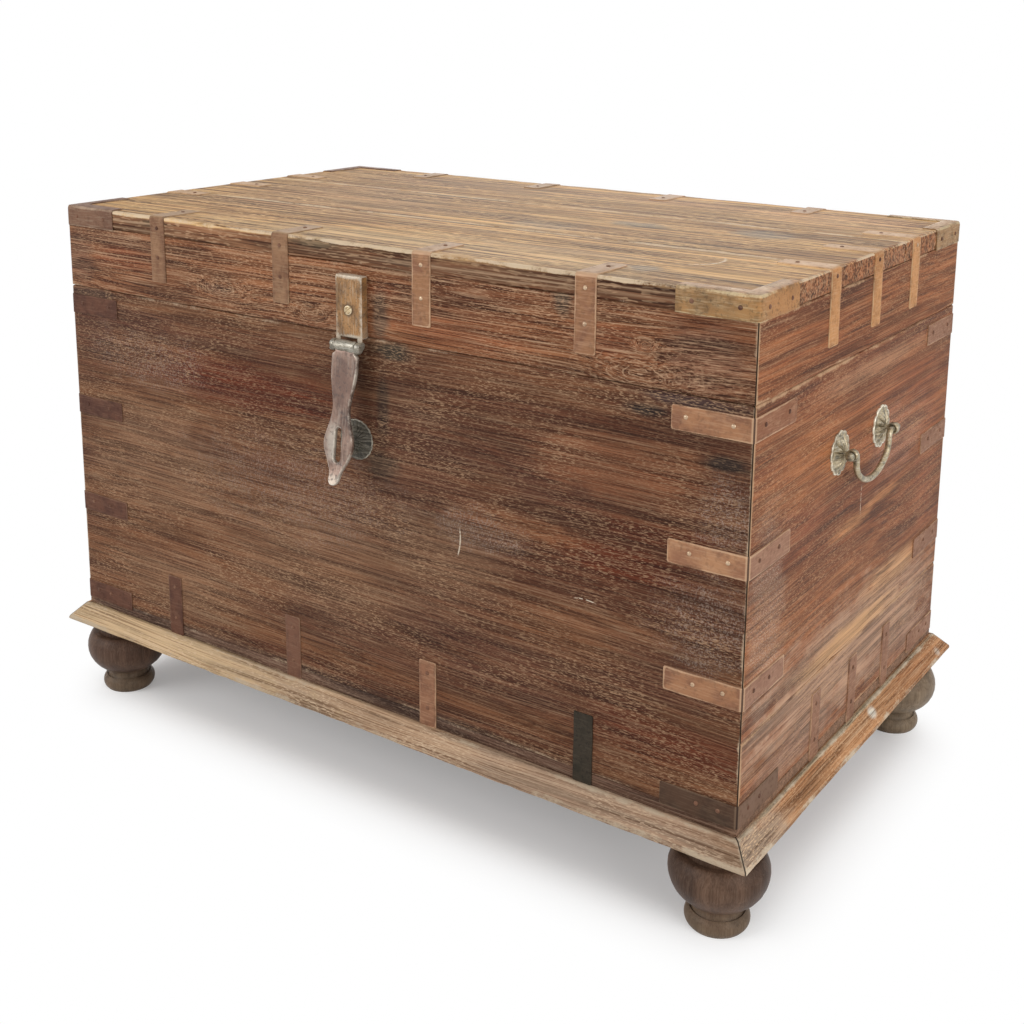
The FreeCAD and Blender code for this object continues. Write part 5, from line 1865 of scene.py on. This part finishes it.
    def build_staple(self, silver: Material, dark: Material) -> None:
        """The staple, a wire bent round half a circle, and the lobed rosette that it comes through."""
        low, high = box("staple")
        wire = (high[0] - low[0]) / 2
        middle = (low[2] + high[2]) / 2
        bend = (high[2] - low[2]) / 2 - wire
        centre_y = low[1] + wire + bend
        angle = np.radians(np.linspace(90, 270, 26))
        y = np.concatenate([
            [high[1]], [centre_y + 4 * MM], centre_y + bend * np.cos(angle), [centre_y + 4 * MM], [high[1]]
        ])
        z = np.concatenate([[bend], [bend], bend * np.sin(angle), [-bend], [-bend]]) + middle
        path = stack(np.zeros_like(y), y, z)
        loop = tube(path, np.full(len(path), wire), EAST, 18)
        loop.hammered(0.15 * MM, 9 * MM, 150)
        dress(loop, "padlock_staple", "chest", silver, ("staple",))
        place = np.array([0, self.chest.low[1], middle])
        rosette = Rosette(22 * MM, 3.2 * MM, 1.2 * MM, 20, 0.6 * MM, 9 * MM)
        made = rosette.surface(place, Side.FRONT.outward)
        dress(made, "staple_rosette", "chest", dark, ("hasp_rosette",))


@dataclass(frozen=True)
class Rosette:
    """A lobed plate with a low dome.

    radius and height are the whole plate's, rim is its rim's height, lobes their number, groove how deep the
    rim draws in between them, and top the radius of the dome's top.
    """

    radius: float
    height: float
    rim: float
    lobes: int
    groove: float
    top: float

    def surface(self, place: Array, outward: Array) -> Surface:
        """The plate: radius and height along it, both drawn in between the lobes by a cosine of the angle.

        The radius falls from the rim to the middle, and the height rises with a smooth step from the rim's to
        the dome's.

        Args:
            place: its middle, on the face that carries it.
            outward: the direction that it faces.

        Returns:
            A closed surface.
        """
        first = np.cross(outward, UP)
        angle = np.linspace(0, 2 * math.pi, self.lobes * 10, endpoint=False)
        valley = (1 - np.abs(np.cos(angle * self.lobes / 2))) ** 1.5
        share = np.array([0, 0, 0.02, 0.05, 0.1, 0.2, 0.32, 0.45, 0.58, 0.7, 0.8, 0.9, 0.97])
        climb = smooth(share, 0.08, 1 - self.top / self.radius)
        height = self.rim + (self.height - self.rim) * climb
        height[0], height[1], height[2] = -0.1 * MM, self.rim * 0.6, self.rim * 0.9
        radius = self.radius * (1 - share[:, None]) - self.groove * valley[None] * (1 - share[:, None])
        bell = np.clip(4 * share * (1 - share), 0, 1) ** 0.5
        level = height[:, None] * (1 - 0.45 * valley[None] * bell[:, None] * (height[:, None] > 0))
        circle = turn_round(first, np.cross(outward, first), len(angle))
        rings = place + radius[..., None] * circle[None] + level[..., None] * outward
        edge = np.broadcast_to((1 - smooth(share, 0.03, 0.15))[:, None], radius.shape)
        return skin(rings, {"edge": edge})


@dataclass
class Handles:
    """The carrying handle on each end: two rosettes, two eyes and a bail."""

    chest: Chest
    wire: float = 3.1 * MM
    drop: float = 38 * MM
    bend: float = 6.5 * MM
    eye_to_leg: float = 11.5 * MM
    corner: float = 20 * MM
    sweep: float = 60 * MM
    spacing: float = 112 * MM
    eye_width: float = 6.5 * MM
    play: float = 0.3 * MM
    knob_radius: float = 4.6 * MM
    knob_length: float = 7.5 * MM

    def build(self) -> None:
        """Makes both handles."""
        brass = MetalFinish(
            "antique_brass_finish", (0.92, 0.86, 0.7), (0.42, 0.335, 0.205), (0.12, 0.1, 0.062),
            (0.022, 0.019, 0.013), metallic=0.6, rough=0.33, scale=150.0, wear=0.76, depth=0.8 * MM, shine=0.8
        ).build()
        rosette = Rosette(23 * MM, 6.2 * MM, 1.8 * MM, 12, 2.2 * MM, 9 * MM)
        rosettes, eyes = [], []
        for side, body in ((Side.RIGHT, "handle_right"), (Side.LEFT, "handle_left")):
            label = side.label
            low, high = box(f"handle_{label}_bail")
            pivot = np.array([(low[0] + high[0]) / 2, (low[1] + high[1]) / 2, high[2] - self.knob_radius])
            face = side.outward * self.chest.half_width
            for sign in (-1, 1):
                place = pivot + np.array([0, sign * self.spacing / 2, 0])
                seat = np.array([face[0], place[1], place[2]])
                rosettes.append(rosette.surface(seat, side.outward))
                eyes.append(self.eye(place, seat))
            self.build_bail(pivot, label, body, brass)
        dress(
            joined(rosettes), "handle_rosette_plates", "chest", brass, ("handle_rosettes",)
        )
        dress(joined(eyes), "handle_eye_posts", "chest", brass, ("handle_eyes",))

    def eye(self, place: Array, seat: Array) -> Surface:
        """A rounded ring round the bail's end, on a post from the rosette."""
        bore, outer, half = self.wire + 0.15 * MM, 6.2 * MM, self.eye_width / 2
        turn = np.linspace(0, 2 * math.pi, 20, endpoint=False)
        middle, reach = (bore + outer) / 2, (outer - bore) / 2
        profile = stack(
            middle + reach * np.sign(np.cos(turn)) * np.abs(np.cos(turn)) ** 0.7,
            half * np.sign(np.sin(turn)) * np.abs(np.sin(turn)) ** 0.7
        )
        ring = lathe(profile, place, np.array([0, 1.0, 0]), 36, closed=True)
        gap = place - seat
        end = place - gap / np.linalg.norm(gap) * middle
        share = np.linspace(0, 1, 9)
        path = seat + share[:, None] * (end - seat)
        radii = (2.6 + 2.6 * (1 - share) ** 3) * MM
        post = tube(path, radii, UP, 20)
        return joined([ring, post])

    def bail_path(self) -> Array:
        """The bail's centre line in the plane of its eyes, as distances along and up from the pivot.

        A tight bend turns the bar down below each eye, a wider corner leans it in, and a long sweep joins the
        two. The circles touch, so the line has no corners.

        Returns:
            The line's points, of shape (points, 2).
        """
        leg = self.spacing / 2 - self.eye_to_leg
        flank = leg - self.corner
        gap = self.sweep - self.corner
        sweep_centre = self.sweep - self.drop
        corner_centre = sweep_centre - math.sqrt(gap ** 2 - flank ** 2)
        lean = math.degrees(math.atan2(flank, sweep_centre - corner_centre))
        reach = self.spacing / 2 + self.eye_width / 2 + self.play
        straight = stack(np.linspace(reach, leg + self.bend, 5), np.zeros(5))
        bend = arc_points((leg + self.bend, -self.bend), self.bend, 90, 180, 9)[1:]
        fall = np.array([[leg, (bend[-1][1] + corner_centre) / 2]])
        corner = arc_points((flank, corner_centre), self.corner, 0, lean - 90, 12)
        sweep = arc_points((0.0, sweep_centre), self.sweep, lean - 90, -90, 12)[1:]
        right = np.concatenate([straight, bend, fall, corner, sweep])
        left = right[-2::-1] * np.array([-1.0, 1.0])
        return np.concatenate([right, left])

    def build_bail(self, pivot: Array, label: str, body: str, material: Material) -> None:
        """The bail, a little thicker in the middle, with a round knob past each eye."""
        flat = self.bail_path()
        path = pivot + stack(np.zeros(len(flat)), flat[:, 0], flat[:, 1])
        depth = np.clip(-flat[:, 1] / self.drop, 0, 1)
        radii = self.wire * (1 + 0.04 * depth * (flat[:, 1] < -self.bend))
        bar = tube(path, radii, EAST, 22)
        reach = self.spacing / 2 + self.eye_width / 2 + self.play
        angle = np.linspace(-80, 80, 15)
        knobs = []
        for sign in (-1, 1):
            centre = pivot + np.array([0, sign * (reach + self.knob_length / 2), 0])
            run = np.sin(np.radians(angle)) * self.knob_length / 2
            knob_path = centre + run[:, None] * np.array([0, 1.0, 0])
            knobs.append(tube(knob_path, self.knob_radius * np.cos(np.radians(angle)) ** 0.8, EAST, 24))
        piece = joined([bar] + knobs)
        piece.hammered(0.1 * MM, 10 * MM, 160)
        dress(piece, label + "_handle_bail", body, material, (f"handle_{label}_bail",))


@dataclass
class Hinges:
    """The two strap hinges on the back."""

    chest: Chest
    width: float = 37 * MM
    radius: float = 6 * MM
    play: float = 0.3 * MM
    thickness: float = 2.5 * MM
    taper: float = 8 * MM

    def build(self) -> None:
        """Makes the leaves with their barrels and screws, and gives the pins their finish."""
        iron = MetalFinish(
            "hinge_iron_finish", (0.34, 0.31, 0.28), (0.095, 0.08, 0.068), (0.12, 0.062, 0.038),
            (0.03, 0.025, 0.02), metallic=0.6, rough=0.5, scale=70.0, wear=0.7
        ).build()
        pin_low, pin_high = box("hinge_pins")
        axis = (pin_low + pin_high) / 2
        spacing = (pin_high[0] - pin_low[0]) - self.width
        lower_low = box("hinge_lower_leaves")[0]
        upper_high = box("hinge_upper_leaves")[1]
        lower, upper = [], []
        for sign in (-1, 1):
            centre = np.array([sign * spacing / 2, axis[1], axis[2]])
            lower += self.leaf(centre, centre[2] - lower_low[2], -1, ((-1 / 2, -1 / 6), (1 / 6, 1 / 2)))
            upper += self.leaf(centre, upper_high[2] - centre[2], 1, ((-1 / 6, 1 / 6),))
        dress(joined(lower), "lower_hinge_leaves", "chest", iron, ("hinge_lower_leaves",))
        dress(joined(upper), "upper_hinge_leaves", "lid", iron, ("hinge_upper_leaves",))
        for node in ("hinge_pins", "hasp_pin"):
            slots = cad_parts[node].data.materials
            slots.clear()
            slots.append(iron)

    def leaf(
        self, centre: Array, reach: float, way: int, parts: tuple[tuple[float, float], ...]
    ) -> list[Surface]:
        """One leaf: a tapered plate with a gap for the barrel, knuckles, and three screws.

        Args:
            centre: the middle of its barrel.
            reach: how far it goes from the barrel's middle.
            way: 1 for up and -1 for down.
            parts: the shares of the width that its knuckles fill.

        Returns:
            Its surfaces.
        """
        outward, right = Side.BACK.outward, Side.BACK.along
        half, tip = self.width / 2, self.width / 2 - self.taper
        near = self.radius + self.play
        outline = np.array([
            [-half, near], [half, near], [tip + 2 * MM, reach - 5 * MM], [tip - 3 * MM, reach],
            [-tip + 3 * MM, reach], [-tip - 2 * MM, reach - 5 * MM]
        ])
        outline[:, 1] *= way
        place = np.array([centre[0], self.chest.high[1], centre[2]])
        made = [plate(outline if way > 0 else outline[::-1], place, right, UP, self.thickness, 0.7 * MM)]
        for start, end in parts:
            first = centre + right * (start * self.width + self.play / 2)
            last = centre + right * (end * self.width - self.play / 2)
            made.append(barrel(first, last, self.radius, 0.7 * MM))
            tab = np.array([[start * self.width, 0], [end * self.width, 0], [end * self.width, near + 1 * MM],
                            [start * self.width, near + 1 * MM]]) * np.array([1, way])
            made.append(plate(
                tab if way > 0 else tab[::-1], place, right, UP, self.thickness - 0.05 * MM, 0.3 * MM
            ))
        for share in (0.3, 0.6, 0.88):
            spot = place + UP * way * (near + (reach - near) * share) + outward * self.thickness
            shift = right * (6 * MM if share == 0.6 else -5 * MM) * (0 if share > 0.8 else 1)
            made.append(dome(spot + shift, outward, 3.4 * MM, 1.0 * MM, 18))
        return made


@dataclass
class Studio:
    """The camera at the photograph's viewpoint, soft light, and a pale floor."""

    eye: Point = (0.9398, -1.3281, 0.8582)
    yaw: float = 34.6
    pitch: float = 12.102
    roll: float = 0.447
    focal: float = 1412.8
    principal: tuple[float, float] = (514.4, 307.6)
    image: int = 1024
    sensor: float = 36.0
    aim_height: float = 0.3
    floor_lift: float = 0.2
    footprint: Point = (0.4, 0.2, 1.0)
    floor_fade: tuple[float, float] = (0.02, 0.125)

    def build(self) -> None:
        """Makes the camera, the lamps, the world and the floor, and sets the view transform."""
        self.build_camera()
        self.build_lamps()
        self.build_world()
        self.build_floor()
        bpy.context.scene.view_settings.view_transform = "Standard"

    def build_camera(self) -> None:
        """The camera: turned by its yaw, pitch and roll, with the photograph's lens and centre."""
        yaw, pitch, roll = (math.radians(value) for value in (self.yaw, self.pitch, self.roll))
        ahead = np.array([
            -math.sin(yaw) * math.cos(pitch), math.cos(yaw) * math.cos(pitch), -math.sin(pitch)
        ])
        level = np.array([math.cos(yaw), math.sin(yaw), 0.0])
        above = np.cross(level, ahead)
        right = math.cos(roll) * level + math.sin(roll) * above
        up = -math.sin(roll) * level + math.cos(roll) * above
        camera = bpy.data.cameras.new("camera")
        camera.sensor_width = self.sensor
        camera.sensor_fit = "HORIZONTAL"
        camera.lens = self.focal / self.image * self.sensor
        camera.shift_x = (self.image / 2 - self.principal[0]) / self.image
        camera.shift_y = (self.principal[1] - self.image / 2) / self.image
        camera.clip_start, camera.clip_end = 0.05, 60.0
        bpy.context.scene.camera = self.stand(camera, right, up, -ahead, self.eye)

    def stand(
        self, data: bpy.types.ID, right: Array, up: Array, back: Array, place: Point
    ) -> bpy.types.Object:
        """Puts a camera or a lamp at a place, turned to three directions."""
        holder = bpy.data.objects.new(data.name, data)
        matrix = np.eye(4)
        matrix[:3] = stack(right, up, back, place)
        holder.matrix_world = Matrix(matrix.tolist())
        bpy.context.scene.collection.objects.link(holder)
        return holder

    def build_lamps(self) -> None:
        """Four soft lamps that face the chest: front left, right, above and behind."""
        lamps = (
            ("key_lamp", (-1.9, -2.9, 1.7), 2.2, 58.0), ("fill_lamp", (3.0, -0.9, 1.4), 2.2, 42.0),
            ("top_lamp", (0.2, 0.6, 3.2), 2.6, 19.0), ("back_lamp", (-1.5, 3.0, 1.6), 2.4, 26.0)
        )
        for name, place, size, power in lamps:
            lamp = bpy.data.lights.new(name, "AREA")
            lamp.shape, lamp.size, lamp.energy = "DISK", size, power
            back = np.array(place) - UP * self.aim_height
            back /= np.linalg.norm(back)
            side = np.cross(UP, back)
            side /= np.linalg.norm(side)
            self.stand(lamp, side, np.cross(back, side), back, place)

    def seen(self, graph: Graph) -> Socket:
        """1 for what the camera sees by itself or in a reflection."""
        rays = graph.node("LightPath").outputs
        return graph.math("MAXIMUM", rays["Is Camera Ray"], rays["Is Glossy Ray"])

    def build_world(self) -> None:
        """White for the camera, in reflections and through glass, and a plain grey light otherwise."""
        world = bpy.data.worlds.new("studio")
        world.use_nodes = True
        graph = Graph(world.node_tree)
        through = graph.node("LightPath").outputs["Is Transmission Ray"]
        seen = graph.math("MAXIMUM", self.seen(graph), through)
        background = graph.node("Background")
        graph.result(
            background, {"Color": (1.0, 1.0, 1.0), "Strength": graph.step(seen, 0.0, 1.0, 0.52, 1.0)}
        )
        graph.end("World", background)
        bpy.context.scene.world = world

    def build_floor(self) -> None:
        """A wide pale disc that keeps the shadow, darker under the chest by a painted shadow, and fades to
        white for the camera.
        """
        profile = np.array([[0.4, 0.0], [2.0, 0.0], [9.0, 0.0], [9.0, -0.02], [0.4, -0.02]])
        disc = lathe(profile, np.zeros(3), UP, 96)
        mesh = bpy.data.meshes.new("floor")
        mesh.from_pydata(disc.points.tolist(), [], [row.tolist() for group in disc.faces for row in group])
        material, graph = new_material("studio_floor")
        place = graph.place()
        outside = graph.vector("SUBTRACT", graph.vector("ABSOLUTE", place), self.footprint)
        outside = graph.vector("LENGTH", graph.vector("MAXIMUM", outside, (0.0, 0.0, 0.0)))
        pale = graph.mix(graph.noise(place, 3.0, 2.0), (0.89, 0.89, 0.89), (0.91, 0.91, 0.91))
        # Painted shadow: the floor's colour is darker within the chest's footprint and pales over 7 cm
        # outside it.
        colour = graph.mix(graph.step(outside, 0.0, 0.07), (0.69, 0.69, 0.7), pale)
        shader = graph.shade(colour, 0.9, 0.0)
        seen = self.seen(graph)
        glow = graph.node("Emission")
        graph.feed(glow.inputs["Strength"], graph.times(seen, self.floor_lift))
        lifted = graph.node("AddShader")
        graph.result(lifted, {0: shader.outputs[0], 1: glow.outputs[0]})
        share = graph.times(graph.step(outside, *self.floor_fade), seen)
        blend = graph.node("MixShader")
        graph.result(blend, {0: share, 1: lifted.outputs[0], 2: graph.node("Emission").outputs[0]})
        graph.end("Material", blend)
        mesh.materials.append(material)
        floor = bpy.data.objects.new("floor", mesh)
        bpy.context.scene.collection.objects.link(floor)
        floor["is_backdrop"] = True


def main() -> None:
    """Builds the studio and every sub-assembly in order, and works out the sizes before and after."""
    logging.basicConfig(level=logging.INFO, format="%(name)s: %(message)s")
    chest = Chest()
    Studio().build()
    for part in (
        Carcass(chest), Plinth(chest), Straps(chest), Lid(chest), Hasp(chest), Handles(chest), Hinges(chest)
    ):
        part.build()
    sizes = {"cad": START_BOUNDS, "visual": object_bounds()}
    {name: [list(corner) for corner in box] for name, box in sizes.items()}


if __name__ == "__main__":
    main()
